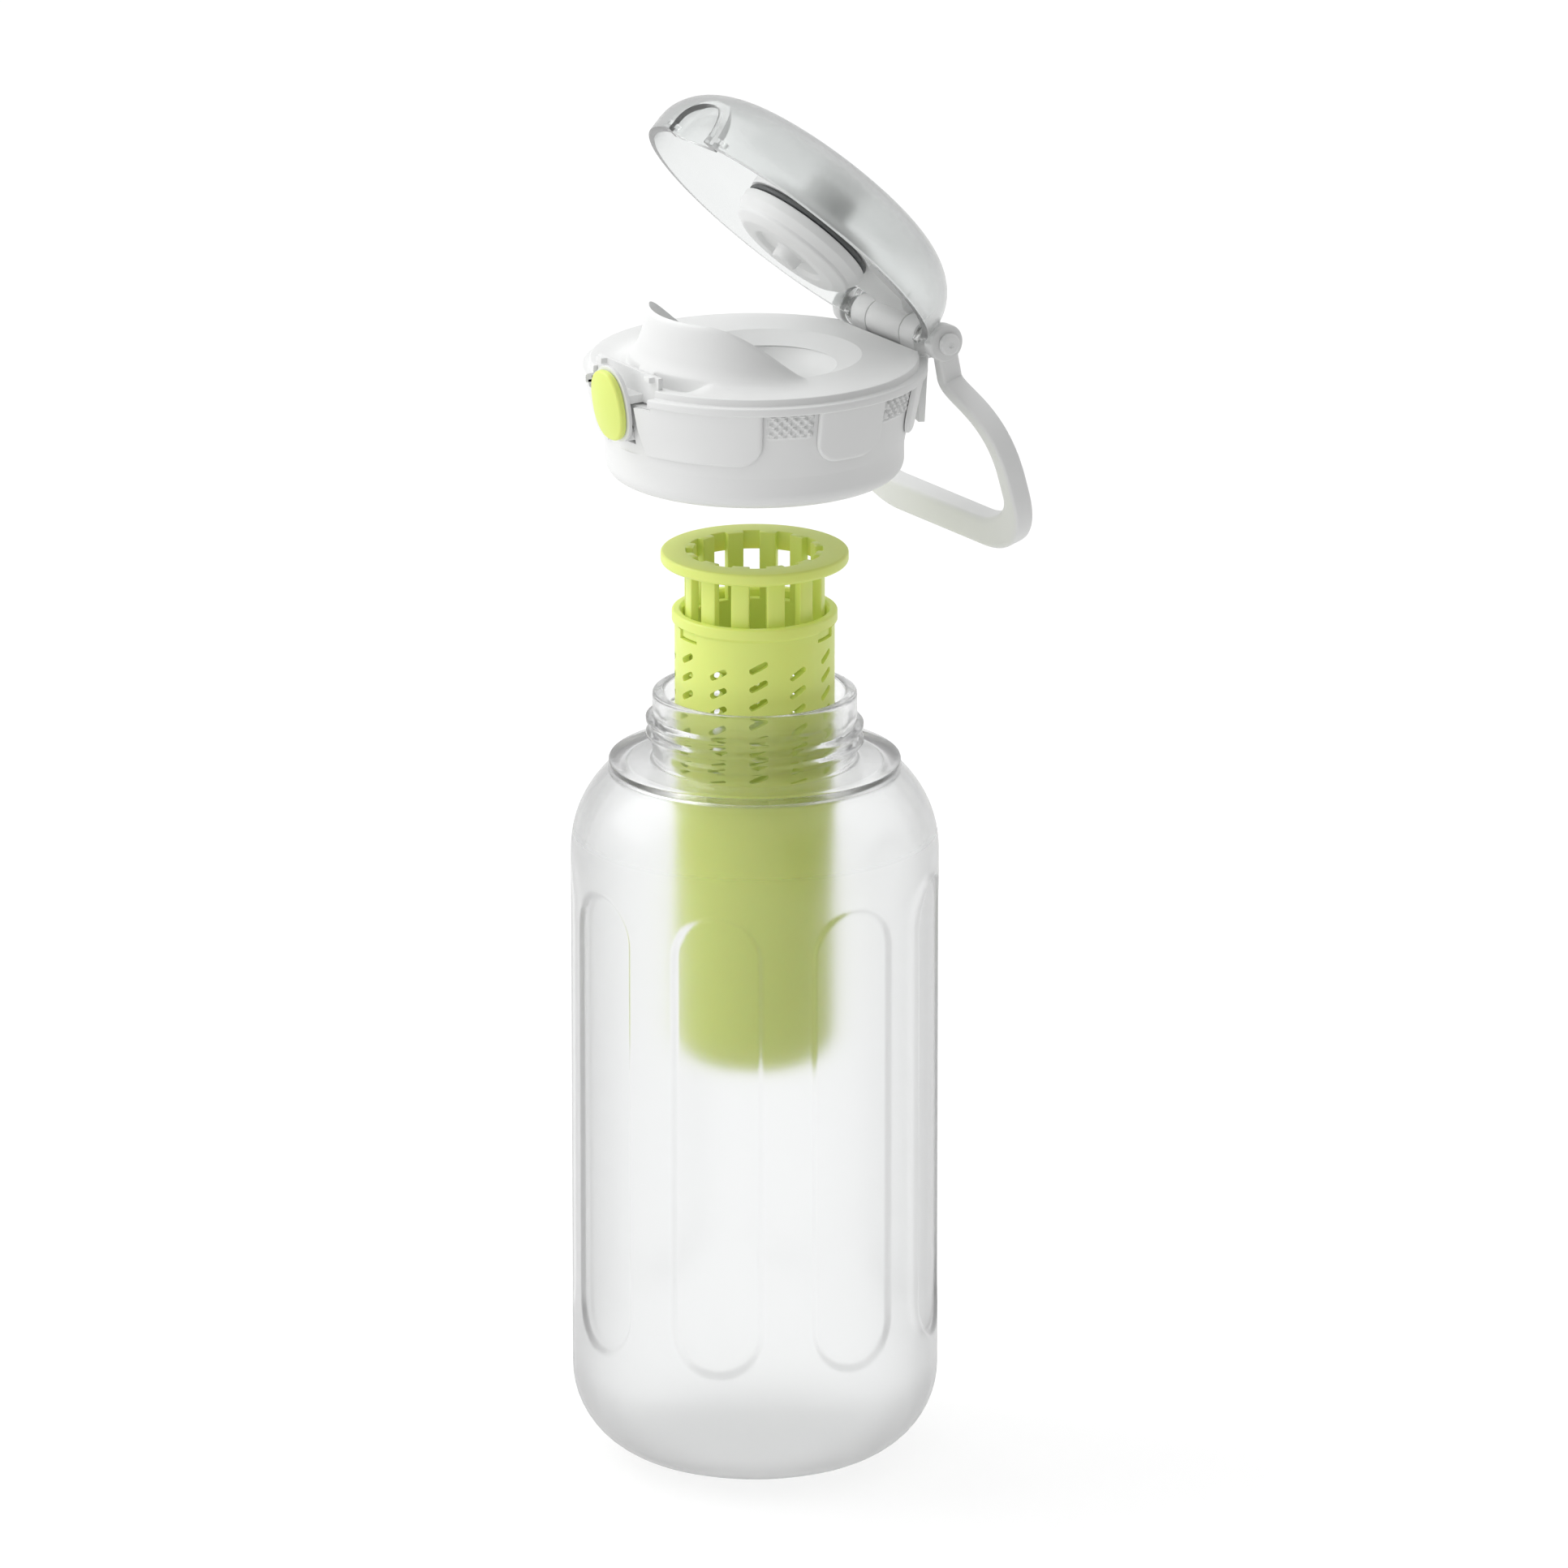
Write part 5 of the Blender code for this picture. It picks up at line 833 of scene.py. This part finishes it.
def makeLidCover():
    columns = 432
    angles = evenTurn(columns)
    crest, height = lipCrest(np.degrees(angles))
    throat = lid["throat"]
    centre = np.array([0.0, lid["mouthY"]])
    direction = np.stack([np.sin(angles), -np.cos(angles)], -1)

    def ring(radius, z, offset=True):
        flat = direction * (radius + np.zeros(columns))[:, None] + (centre if offset else 0.0)
        return np.column_stack([flat, z + np.zeros(columns)])

    rows = [ring(throat, lid["throatLow"])]
    # inside: the bowl's drop and the lip's own lift, which joins in by shares near the crest
    for share in bowlRows:
        lift = readCurve(lid["bowlShares"], np.array([share]))[0]
        drop = lid["bowlDrop"] * (1.0 - share) ** lid["bowlPower"]
        rows.append(ring(throat + (crest - throat) * share, lift * height - drop))
    # outside: from the crest down the slope to the deck's edge
    top = ring(crest, 0.0)
    deckEnd = lid["deckRadius"] - 0.5
    edge = ring(deckEnd, 0.0, offset=False)
    turn = np.abs((np.degrees(angles) + 180.0) % 360.0 - 180.0)
    # a hollow on each side of the front, cut into the lip's foot and fading round the side
    first, full, falls, last = lid["pocketTurns"]
    pocket = ramp(first, full, turn) * (1.0 - ramp(falls, last, turn))
    near, deep, shallow, far = lid["pocketShares"]
    for share in slopeRows:
        lift = readCurve(lid["slopeShares"], np.array([share]))[0]
        spot = top + (edge - top) * share
        dip = pocket * ramp(near, deep, share) * (1.0 - ramp(shallow, far, share))
        spot[:, 2] = lift * height * (1.0 - dip) - lid["pocketDepth"] * dip
        rows.append(spot)
    band, soft, inside = lid["band"], lid["bandRound"], lid["wallTop"] + lid["gap"]
    step = throat + lid["throatLedge"]
    outer = rounded([
        (deckEnd, 0.0), (lid["deckRadius"], 0.0, lid["deckRound"]), (lid["deckRadius"], -lid["ledge"], 0.25),
        (band, -lid["ledge"], soft), (band, -lid["bandDepth"], soft), (inside, -lid["bandDepth"], 0.2),
        (inside, lid["coverLow"]), (step, lid["coverLow"]), (step, lid["throatLow"]),
        (throat + 0.05, lid["throatLow"]),
    ], steps=4)
    # the rings near the throat lie round the mouth's middle, the others round the lid's
    rows += [ring(radius, z, offset=radius < lid["lipRadius"]) for radius, z in outer[1:-1]]
    shell = makeObject("shell", [gridPatch(onLid(np.stack(rows)), wrapRows=True, wrapColumns=True)], white)
    tabs = [makeObject("tab", [tabPatch(start, end)], white) for start, end in lid["tabs"]]
    carve(shell, lidCutters(False), sharp=34.0)
    carve(tabs[0], lidCutters(False), sharp=34.0)
    return gathered("lidCover", [shell] + tabs, sharp=34.0)


# a tab under the band: a grid over its span and its height, with round lower corners and a thickness that
# falls to a thin skin at its free edges, like a pillow's
def tabPatch(start, end):
    half = math.radians(end - start) / 2.0
    middle = math.radians(start + end) / 2.0
    across = np.sin(np.linspace(-np.pi / 2.0, np.pi / 2.0, 61))
    down = 1.0 - (1.0 - np.linspace(0.0, 1.0, 25)) ** 1.8
    u, v = np.meshgrid(across, down)
    fromSide = np.maximum(1.0 - np.abs(u), 0.0) * half * lid["wallTop"]
    left = np.clip(1.0 - fromSide / lid["tabCorner"], 0.0, 1.0)
    depth = lid["tabDepth"] - lid["tabCorner"] * (1.0 - np.sqrt(1.0 - left * left))
    top = -lid["bandDepth"] + lid["tabSunk"]
    z = top + (-depth - top) * v
    fromEdge = np.minimum(fromSide, (1.0 - v) * (depth + top) * 0.9)
    thick = lid["tabProud"] - lid["gap"] - lid["tabSkin"]
    softness = np.sqrt(1.0 - np.clip(1.0 - fromEdge / lid["tabSoft"], 0.0, 1.0) ** 2)
    turn = middle + u * half
    # the wide front tab melts into the wall towards the front
    melt = ramp(0.35, 0.75, 1.0 - np.abs(u)) * ramp(0.45, 1.0, v) if end - start > lid["wideTab"] else 0.0
    softness = softness * (1.0 - melt)
    layers = []
    for offset in (lid["gap"], lid["gap"] + lid["tabSkin"] + thick * softness):
        radius = wallRadius(z) + offset
        layers.append(np.stack([radius * np.sin(turn), -radius * np.cos(turn), z], -1))
    inner, outer = layers
    loop = np.concatenate([outer, inner[::-1]])
    return gridPatch(onLid(np.swapaxes(loop, 0, 1)), wrapColumns=True, caps=True)


# lid collar: wall, thread socket, grip patches and dish

def makeLidCollar():
    columns = 440
    angles = evenTurn(columns)
    low, start, end = -lid["height"], -lid["wallStart"], -lid["wallEnd"]
    shoulder = (wallRadius(start - 0.8), start - 0.8)
    wall = refined([shoulder, (wallRadius(end), end)], 0.35)
    fillet, middle = lid["bottomRound"], lid["ceilingRadius"]
    outer = np.concatenate([
        rounded([(middle, start), (lid["wallTop"], start, 0.6), shoulder], steps=3)[:-1], wall,
        arcPoints((lid["wallLow"] - fillet, low + fillet), (fillet, fillet), 0.0, -70.0, 11),
    ])
    groove, sleeve, socket, roof = lid["groove"], lid["sleeve"], lid["socket"], low + lid["grooveHeight"]
    inner = rounded([
        outer[-1], (groove, low + 0.7, 0.3), (groove, roof, 1.0), (sleeve, roof, 1.0), (sleeve, low, 0.5),
        (socket, low, 0.6), (socket, lid["ceiling"], 0.4), (middle, lid["ceiling"]),
    ], steps=4)[1:]
    inner = refined(inner, 0.5)
    line = np.concatenate([outer, inner])
    points = turned(line, angles)
    heights = line[:, 1][:, None] + np.zeros_like(angles)
    # the inner thread is a ridge that stands into the socket
    onSocket = np.abs(line[:, :1] - socket) < 0.02
    thread = (lid["threadStart"], bottle["pitch"], lid["threadTurns"], lid["threadHalf"])
    ridge = threadProud(angles, heights, *thread)
    # grip patches: two sets of slanted fine ribs cross on the wall between the tabs; the larger of their two
    # cosine waves is squared
    around, waves = angles * lid["hatchRadius"], fullTurn / lid["hatchPitch"]
    hatch = np.maximum(
        0.5 + 0.5 * np.cos((around + heights) * waves), 0.5 + 0.5 * np.cos((around - heights) * waves)
    ) ** 2
    degrees = np.degrees(angles)
    inPatch, fade = np.zeros_like(degrees), lid["patchFade"]
    for start, end in lid["patches"]:
        share = ramp(start, start + fade, degrees) * (1.0 - ramp(end - fade, end, degrees))
        inPatch = np.maximum(inPatch, share)
    hatchLow, hatchHigh, fade = lid["hatchLow"], lid["hatchHigh"], lid["hatchFade"]
    inPatch = inPatch * ramp(hatchLow, hatchLow + fade, heights)
    inPatch = inPatch * (1.0 - ramp(hatchHigh, hatchHigh + fade, heights))
    onWall = line[:, :1] > lid["wallLow"] - 0.1
    change = lid["hatchProud"] * hatch * inPatch * onWall
    change = change - np.where(onSocket, lid["threadProud"] * ridge, 0.0)
    radial = points[..., :2]
    reach = np.hypot(radial[..., 0], radial[..., 1])
    points[..., :2] = radial * ((reach + change) / reach)[..., None]
    # the dish under the mouth, round the mouth's own middle, with the drinking hole near its front
    reach, under, throat, floor = lid["dishOuter"], lid["dishLow"], lid["throat"], lid["dishFloor"]
    outside = rounded([(reach, lid["ceiling"]), (reach, under, 0.7), (12.0, under)])
    inside = np.vstack([
        cubic(((9.0, floor), (13.4, floor), (throat - 1.3, floor + 2.0), (throat, -2.9)), 22)[1:],
        (throat + 0.1, -2.7),
    ])
    hole = lid["drinkHole"]
    hole = rounded([
        (hole + 1.0, under), (hole, under, 0.4), (hole, floor, 0.5), (hole + 1.0, floor),
    ], steps=4)
    loop = np.concatenate([
        points, turned(outside, angles, lid["mouthY"]), turned(hole, angles, lid["drinkHoleY"]),
        turned(inside, angles, lid["mouthY"]),
    ])
    body = gridPatch(onLid(loop), wrapRows=True, wrapColumns=True)
    return makeObject("lidCollar", [body], white, sharp=34.0)


latch = {
    "lean": math.tan(math.radians(8.7)), "front": 42.3, "top": 3.7, "bottom": 15.4, "bezelThick": 0.95,
    "play": 1.6, "buttonHalf": 6.3, "margin": 0.7, "buttonThick": 1.7, "dome": 0.9, "power": 2.35,
    "buttonBack": 0.3, "buttonSide": 1.3, "buttonRound": 0.7, "backChamfer": 0.1,
}


# where the bezel's front plane is at a height above the deck
def bezelFront(z):
    return -(latch["front"] - (latch["top"] - z) * latch["lean"])


# the hollows for the hinge and for the latch, cut from both shells of the lid
def lidCutters(forCollar):
    back, end = latch["bezelThick"] + latch["play"], -lid["cutEnd"]
    low, high, half = lid["channelLow"], lid["channelHigh"], lid["channelHalf"]
    channel = rounded([
        (end, low), (bezelFront(low) + back, low, lid["channelRound"]), (bezelFront(high) + back, high),
        (end, high),
    ])
    shapes = [
        boxPatch(*lid["hingeNotch"]), boxPatch(*lid["beamNotch"]),
        gridPatch(pulledAcross(channel, -half, half), wrapColumns=True, caps=True),
    ]
    if forCollar:
        y, z, radius, half = place["pivotY"], place["pivotZ"], lid["pinRound"], lid["pinHalf"]
        bend = arcPoints((y, z), (radius, radius), -90.0, 90.0, 13)
        pocket = np.concatenate([[(end, z - radius)], bend, [(end, z + radius)]])
        shapes.append(gridPatch(pulledAcross(pocket, -half, half), wrapColumns=True, caps=True))
    else:
        shapes.append(boxPatch(*lid["bracketNotch"]))
    return [makeObject("lidCut", [(onLid(points), faces)], white) for points, faces in shapes]


seat(makeLidCover(), "lid", "white_plastic", "lid_cover")
collar = makeLidCollar()
carve(collar, lidCutters(True), sharp=34.0)
seat(collar, "lid", "white_plastic", "lid_collar")
seat(softenedCopy("lid_seal", "lidSeal", paleSilicone, 0.2), "lid_ring", "white_silicone", "lid_seal")


# hinge

hinge = {
    "pin": 1.5, "pinEnd": 22.1, "capGap": 0.3, "capRadius": 2.7, "capLength": 1.5, "dimple": 0.8,
    "dimpleDepth": 0.35, "springRadius": 2.5, "springWire": 0.35, "springHalf": 5.35, "springTurns": 6,
}

seat(softenedCopy("hinge_bracket", "hingeBracket", white, 0.3), "lid", "white_plastic", "hinge_bracket")


def makeHingePins():
    end = hinge["pinEnd"]
    pin = rounded([(0.0, -end), (hinge["pin"], -end, 0.3), (hinge["pin"], end, 0.3), (0.0, end)], steps=3)
    spot = (place["hingeY"], place["hingeZ"] + place["deck"])
    made = makeObject("hingePin", [gridPatch(turnedAcross(pin, 40, *spot), wrapColumns=True)], steel)
    seat(made, "lid", "spring_steel", "hinge_pin")
    start, radius, dimple = end + hinge["capGap"], hinge["capRadius"], hinge["dimple"]
    stop = start + hinge["capLength"]
    floor = stop - hinge["dimpleDepth"]
    head = rounded([
        (0.0, start), (radius, start, 0.2), (radius, stop, 0.7), (dimple, stop, 0.15),
        (dimple - 0.1, floor, 0.1), (0.0, floor),
    ], steps=5)
    heads = ((-1.0, "pinCapLeft", "hinge_pin_cap_left"), (1.0, "pinCapRight", "hinge_pin_cap_right"))
    for side, name, node in heads:
        spots = turnedAcross(head * (1.0, side), 48, *spot)
        made = makeObject(name, [gridPatch(spots, wrapColumns=True)], white)
        seat(made, "lid", "white_plastic", node)
    made = softenedCopy("latch_pin", "latchPin", steel, 0.15)
    seat(made, "lid", "spring_steel", "latch_pin")


# a round wire along a helix about the hinge: at each point its circle is spanned by the direction outwards
# and by one that is square to that and to the wire
def makeHingeSpring():
    radius, half, turns = hinge["springRadius"], hinge["springHalf"], hinge["springTurns"]
    t = np.linspace(0.0, 1.0, turns * 28 + 1)
    angle = t * turns * fullTurn
    a, b = radius * np.cos(angle), radius * np.sin(angle)
    path = np.stack([2.0 * half * t - half, a + place["hingeY"], b + place["hingeZ"]], -1)
    forward = np.gradient(path, axis=0)
    forward /= np.linalg.norm(forward, axis=1, keepdims=True)
    outward = np.stack([0.0 * a, a, b], -1) / radius
    other = np.cross(forward, outward)
    ring = evenTurn(12)[:, None]
    circle = outward[:, None] * np.cos(ring) + other[:, None] * np.sin(ring)
    tube = path[:, None] + hinge["springWire"] * circle
    made = makeObject("hingeSpring", [gridPatch(onCap(tube), wrapColumns=True, caps=True)], steel)
    seat(made, "cap", "spring_steel", "hinge_spring")


makeHingePins()
makeHingeSpring()


# flip cap

cap = {
    "rim": 42.0, "rimZ": -1.5, "rimRound": 0.5, "wall": 1.8, "straightTop": 2.5, "flat": 24.0,
    "edgeHeight": 14.4, "crown": 1.1, "hollowLow": -8.0,
    "archHalf": 7.7, "archTop": 8.5, "archFloor": 38.9, "archWall": 1.5, "archLow": -14.0, "cutEnd": 50.0,
    # boxes by two corners: what is cut away at the back for the hinge, and the latch's catch on one side
    "rear": ((-14.1, 33.0, -9.0), (14.1, 50.0, 8.0)), "catch": ((8.9, -40.0, 0.0), (11.8, -36.9, 1.2)),
    # discs on the hinge's axis, as radius, from and to: cut away beside the ear, the ear, the pin's bore
    "scallop": (5.2, 17.0, 24.0), "ear": (4.4, 14.3, 16.9), "bore": (1.8, -22.0, 22.0), "earRound": 0.3,
}


# the dome's side view, from its rim to its middle, moved inwards by a wall
def domeLine(shrink, low):
    width, height = cap["rim"] - cap["flat"] - shrink, cap["edgeHeight"] - shrink
    edge = arcPoints((cap["flat"], cap["straightTop"]), (width, height), 0.0, 90.0, 26)
    middle = np.linspace(cap["flat"], 0.0, 14)[1:]
    crown = cap["straightTop"] + height + cap["crown"] * (1.0 - (middle / cap["flat"]) ** 2)
    return np.vstack([[(cap["rim"] - shrink, low)], edge, np.column_stack([middle, crown])])


# a round-headed arch in front view, run from in front of the cap back to a depth, and grown by a wall
def archCut(name, wall=0.0):
    half, low = cap["archHalf"] + wall, cap["archLow"]
    head = arcPoints((0.0, cap["archTop"] + wall - half), (half, half), 180.0, 0.0, 33)
    outline = np.vstack([[(-half, low)], head, [(half, low)]])
    ends = (-cap["cutEnd"], wall - cap["archFloor"])
    rows = [np.column_stack([outline[:, 0], np.full(len(outline), y), outline[:, 1]]) for y in ends]
    return makeObject(name, [gridPatch(onCap(np.stack(rows)), wrapColumns=True, caps=True)], capClear)


# a solid disc about the hinge's axis, from its radius and its two ends
def discOnHinge(name, radius, low, high, count=48, soft=0.0):
    profile = rounded([(0.0, low), (radius, low, soft), (radius, high, soft), (0.0, high)], steps=3)
    spots = turnedAcross(profile, count, place["hingeY"], place["hingeZ"])
    return makeObject(name, [gridPatch(onCap(spots), wrapColumns=True)], capClear)


def boxOnCap(name, low, high):
    points, faces = boxPatch(low, high)
    return makeObject(name, [(onCap(points), faces)], capClear)


def makeFlipCap():
    around = evenTurn(256)
    low, soft = cap["rimZ"], cap["rimRound"]
    outer = domeLine(0.0, low + soft)
    rim = rounded([outer[0], (cap["rim"], low, soft), (cap["rim"] - 6.0, low), (0.0, low)], steps=4)[1:]
    body = gridPatch(onCap(turned(np.vstack([rim[::-1], outer]), around)), wrapColumns=True)
    made = makeObject("flipCap", [body], capClear, sharp=50.0)
    inside = np.vstack([[(0.0, cap["hollowLow"])], domeLine(cap["wall"], cap["hollowLow"])])
    inside = gridPatch(onCap(turned(inside, around)), wrapColumns=True)
    hollow = makeObject("hollow", [inside], capClear, sharp=50.0)
    # the hollow keeps a wall behind the arch
    carve(hollow, [archCut("guard", cap["archWall"])])
    cutters = [archCut("arch"), hollow, boxOnCap("rear", *cap["rear"])]
    joins = []
    for side in (-1.0, 1.0):
        radius, start, stop = cap["scallop"]
        cutters.append(discOnHinge("scallop", radius, start * side, stop * side))
        radius, start, stop = cap["ear"]
        joins.append(discOnHinge("ear", radius, start * side, stop * side, soft=cap["earRound"]))
        (first, front, under), (last, back, over) = cap["catch"]
        first, last = sorted((first * side, last * side))
        joins.append(boxOnCap("catch", (first, front, under), (last, back, over)))
    carve(made, cutters, sharp=50.0)
    carve(made, joins, "UNION", sharp=50.0)
    carve(made, [discOnHinge("bore", *cap["bore"], count=32)], sharp=50.0)
    return seat(made, "cap", "clear_plastic", "flip_cap")


makeFlipCap()
seat(softenedCopy("cap_carrier", "capCarrier", white, 0.3), "cap", "white_plastic", "cap_carrier")


# side views (radius, height above the deck, fillet) of the closed plug and its gasket
plug = {
    "line": (
        (0.0, 3.6), (4.0, 3.6, 0.2), (4.0, 2.0, 0.2), (17.7, 2.0, 0.5), (17.7, -0.4, 0.8), (16.3, -2.6, 0.8),
        (16.3, -3.6, 1.5), (13.5, -5.2, 1.6), (9.6, -5.2, 0.8), (8.6, -4.1, 0.6), (3.6, -4.1, 0.6),
        (3.3, -7.2, 0.7), (0.0, -7.2),
    ),
    "gasket": ((8.0, 2.3, 0.2), (17.3, 2.3, 0.6), (17.3, 3.6, 0.6), (8.0, 3.6, 0.2)),
}


def makePlug():
    around, middle = evenTurn(160), lid["mouthY"]
    spots = turned(rounded(plug["line"], steps=5), around, middle)
    made = makeObject("spoutPlug", [gridPatch(onCap(spots), wrapColumns=True)], white)
    seat(made, "cap", "white_plastic", "spout_plug")
    spots = turned(rounded(plug["gasket"], closed=True, steps=4), around, middle)
    made = makeObject("plugGasket", [gridPatch(onCap(spots), wrapRows=True, wrapColumns=True)], greySilicone)
    seat(made, "cap", "grey_silicone", "plug_gasket")


makePlug()


# carrying loop

loop = {
    "thick": 4.7, "topThick": 3.3, "deep": 5.6, "edge": 1.0, "eyeX": 20.3, "eyeHalf": 1.8, "eyeRadius": 4.6,
    "eyeRound": 0.5, "bore": 1.8, "boreFrom": 15.0, "boreTo": 24.0,
    "neckX": 18.9, "neckDrop": 10.0, "halfWidth": 36.8, "shoulderDrop": 33.0, "bottom": 55.3, "barThick": 8.4,
    "cornerWide": 18.0, "cornerTall": 13.5, "bendShares": (0.22, 0.2),
}


# turns points (x, across, height) of the hanging loop about the hinge axis
def onLoop(points):
    turn = math.radians(place["loopTilt"])
    points = np.asarray(points, float)
    y = points[..., 1] * math.cos(turn) - points[..., 2] * math.sin(turn)
    z = points[..., 1] * math.sin(turn) + points[..., 2] * math.cos(turn)
    return np.stack([points[..., 0], y + place["hingeY"], z + place["hingeZ"] + place["deck"]], -1)


def makeHandle():
    rise = loop["shoulderDrop"] - loop["neckDrop"]
    neckX, drop, side = loop["neckX"], loop["neckDrop"], loop["halfWidth"]
    first, second = (drop + rise * share for share in loop["bendShares"])
    sweep = cubic(((neckX, drop), (neckX, first), (side, second), (side, loop["shoulderDrop"])), 30)
    length = loop["bottom"] - loop["barThick"] / 2.0
    wide, tall = loop["cornerWide"], loop["cornerTall"]
    corner = arcPoints((side - wide, length - tall), (wide, tall), 0.0, 90.0, 30)
    neck = refined([(loop["eyeX"], 1.0), ((loop["eyeX"] + neckX) / 2.0, drop / 2.0), (neckX, drop)], 2.0)
    half = np.vstack([neck[:-1], sweep, corner])
    line = np.vstack([half, [(0.0, length)], np.column_stack([-half[:, 0], half[:, 1]])[::-1]])
    path = np.column_stack([line[:, 0], np.zeros(len(line)), -line[:, 1]])
    # the strap thickens from its eyes down to its shoulders, and again round the corner to the bar
    thick, deep, edge = loop["thick"] / 2.0, loop["deep"] / 2.0, loop["edge"]
    section = rounded([
        (-thick, -deep, edge), (thick, -deep, edge), (thick, deep, edge), (-thick, deep, edge),
    ], closed=True, steps=6)
    grown = np.clip(line[:, 1] / loop["shoulderDrop"], 0.0, 1.0)
    share = (loop["topThick"] + (loop["thick"] - loop["topThick"]) * grown) / loop["thick"]
    share += (loop["barThick"] / loop["thick"] - 1.0) * ramp(length - tall, length - 0.8, line[:, 1])
    patches = [gridPatch(onLoop(swept(path, section, (0.0, 1.0, 0.0), share)), wrapColumns=True, caps=True)]
    made = makeObject("handleLoop", patches, white, sharp=50.0)
    joins, bores = [], []
    radius, soft, hole = loop["eyeRadius"], loop["eyeRound"], loop["bore"]
    for side in (-1.0, 1.0):
        low, high = (loop["eyeX"] - loop["eyeHalf"]) * side, (loop["eyeX"] + loop["eyeHalf"]) * side
        eye = rounded([(0.0, low), (radius, low, soft), (radius, high, soft), (0.0, high)], steps=4)
        joins.append(makeObject("eye", [gridPatch(onLoop(turnedAcross(eye, 64)), wrapColumns=True)], white))
        low, high = loop["boreFrom"] * side, loop["boreTo"] * side
        bore = np.array([(0.0, low), (hole, low), (hole, high), (0.0, high)])
        bores.append(makeObject("bore", [gridPatch(onLoop(turnedAcross(bore, 32)), wrapColumns=True)], white))
    carve(made, joins, "UNION", sharp=40.0)
    carve(made, bores, sharp=40.0)
    return seat(made, "handle", "white_plastic", "handle_loop")


makeHandle()


# latch

# an oval outline |x/a|^p + |y/b|^p = 1, leaning with the latch: rows are (half width, half height, offset)
def ovalRows(layers, count=96):
    t = evenTurn(count)
    tilt = math.atan(latch["lean"])
    middle = (latch["top"] - latch["bottom"]) / 2.0
    up = np.array([0.0, -math.sin(tilt), math.cos(tilt)])
    out = np.array([0.0, -math.cos(tilt), -math.sin(tilt)])
    centre = np.array([0.0, bezelFront(middle), middle])
    x = np.sign(np.cos(t)) * np.abs(np.cos(t)) ** (2.0 / latch["power"])
    y = np.sign(np.sin(t)) * np.abs(np.sin(t)) ** (2.0 / latch["power"])
    across = np.array([1.0, 0.0, 0.0])
    return np.stack([
        centre + np.outer(x * wide, across) + np.outer(y * tall, up) + out * offset
        for wide, tall, offset in layers
    ])


def makeButton():
    wide, tall = latch["buttonHalf"], (latch["top"] + latch["bottom"]) / 2.0 - latch["margin"]
    back, side = latch["buttonBack"], latch["buttonSide"]
    chamfer, soft = latch["backChamfer"], latch["buttonRound"]
    front = back + latch["buttonThick"]
    layers = [
        (0.0, 0.0, back), (wide - chamfer, tall - chamfer, back), (wide, tall, back + 2.0 * chamfer),
        (wide, tall, side),
    ]
    for turn in np.radians(np.linspace(10.0, 90.0, 7)):
        inset = soft * (1.0 - math.cos(turn))
        layers.append((wide - inset, tall - inset, side + (front - side) * math.sin(turn)))
    for share in np.linspace(0.92, 0.0, 14):
        dome = latch["dome"] * (1.0 - share ** 2)
        layers.append(((wide - soft) * share, (tall - soft) * share, front + dome))
    made = makeObject("latchButton", [gridPatch(onLid(ovalRows(layers)), wrapColumns=True)], lime, sharp=50.0)
    return seat(made, "latch", "lime_plastic", "latch_button")


makeButton()
seat(softenedCopy("latch_lever", "latchLever", white, 0.25), "latch", "white_plastic", "latch_lever")
seat(softenedCopy("latch_spring", "latchSpring", steel, 0.0), "lid", "spring_steel", "latch_spring")

print("pieces ready")
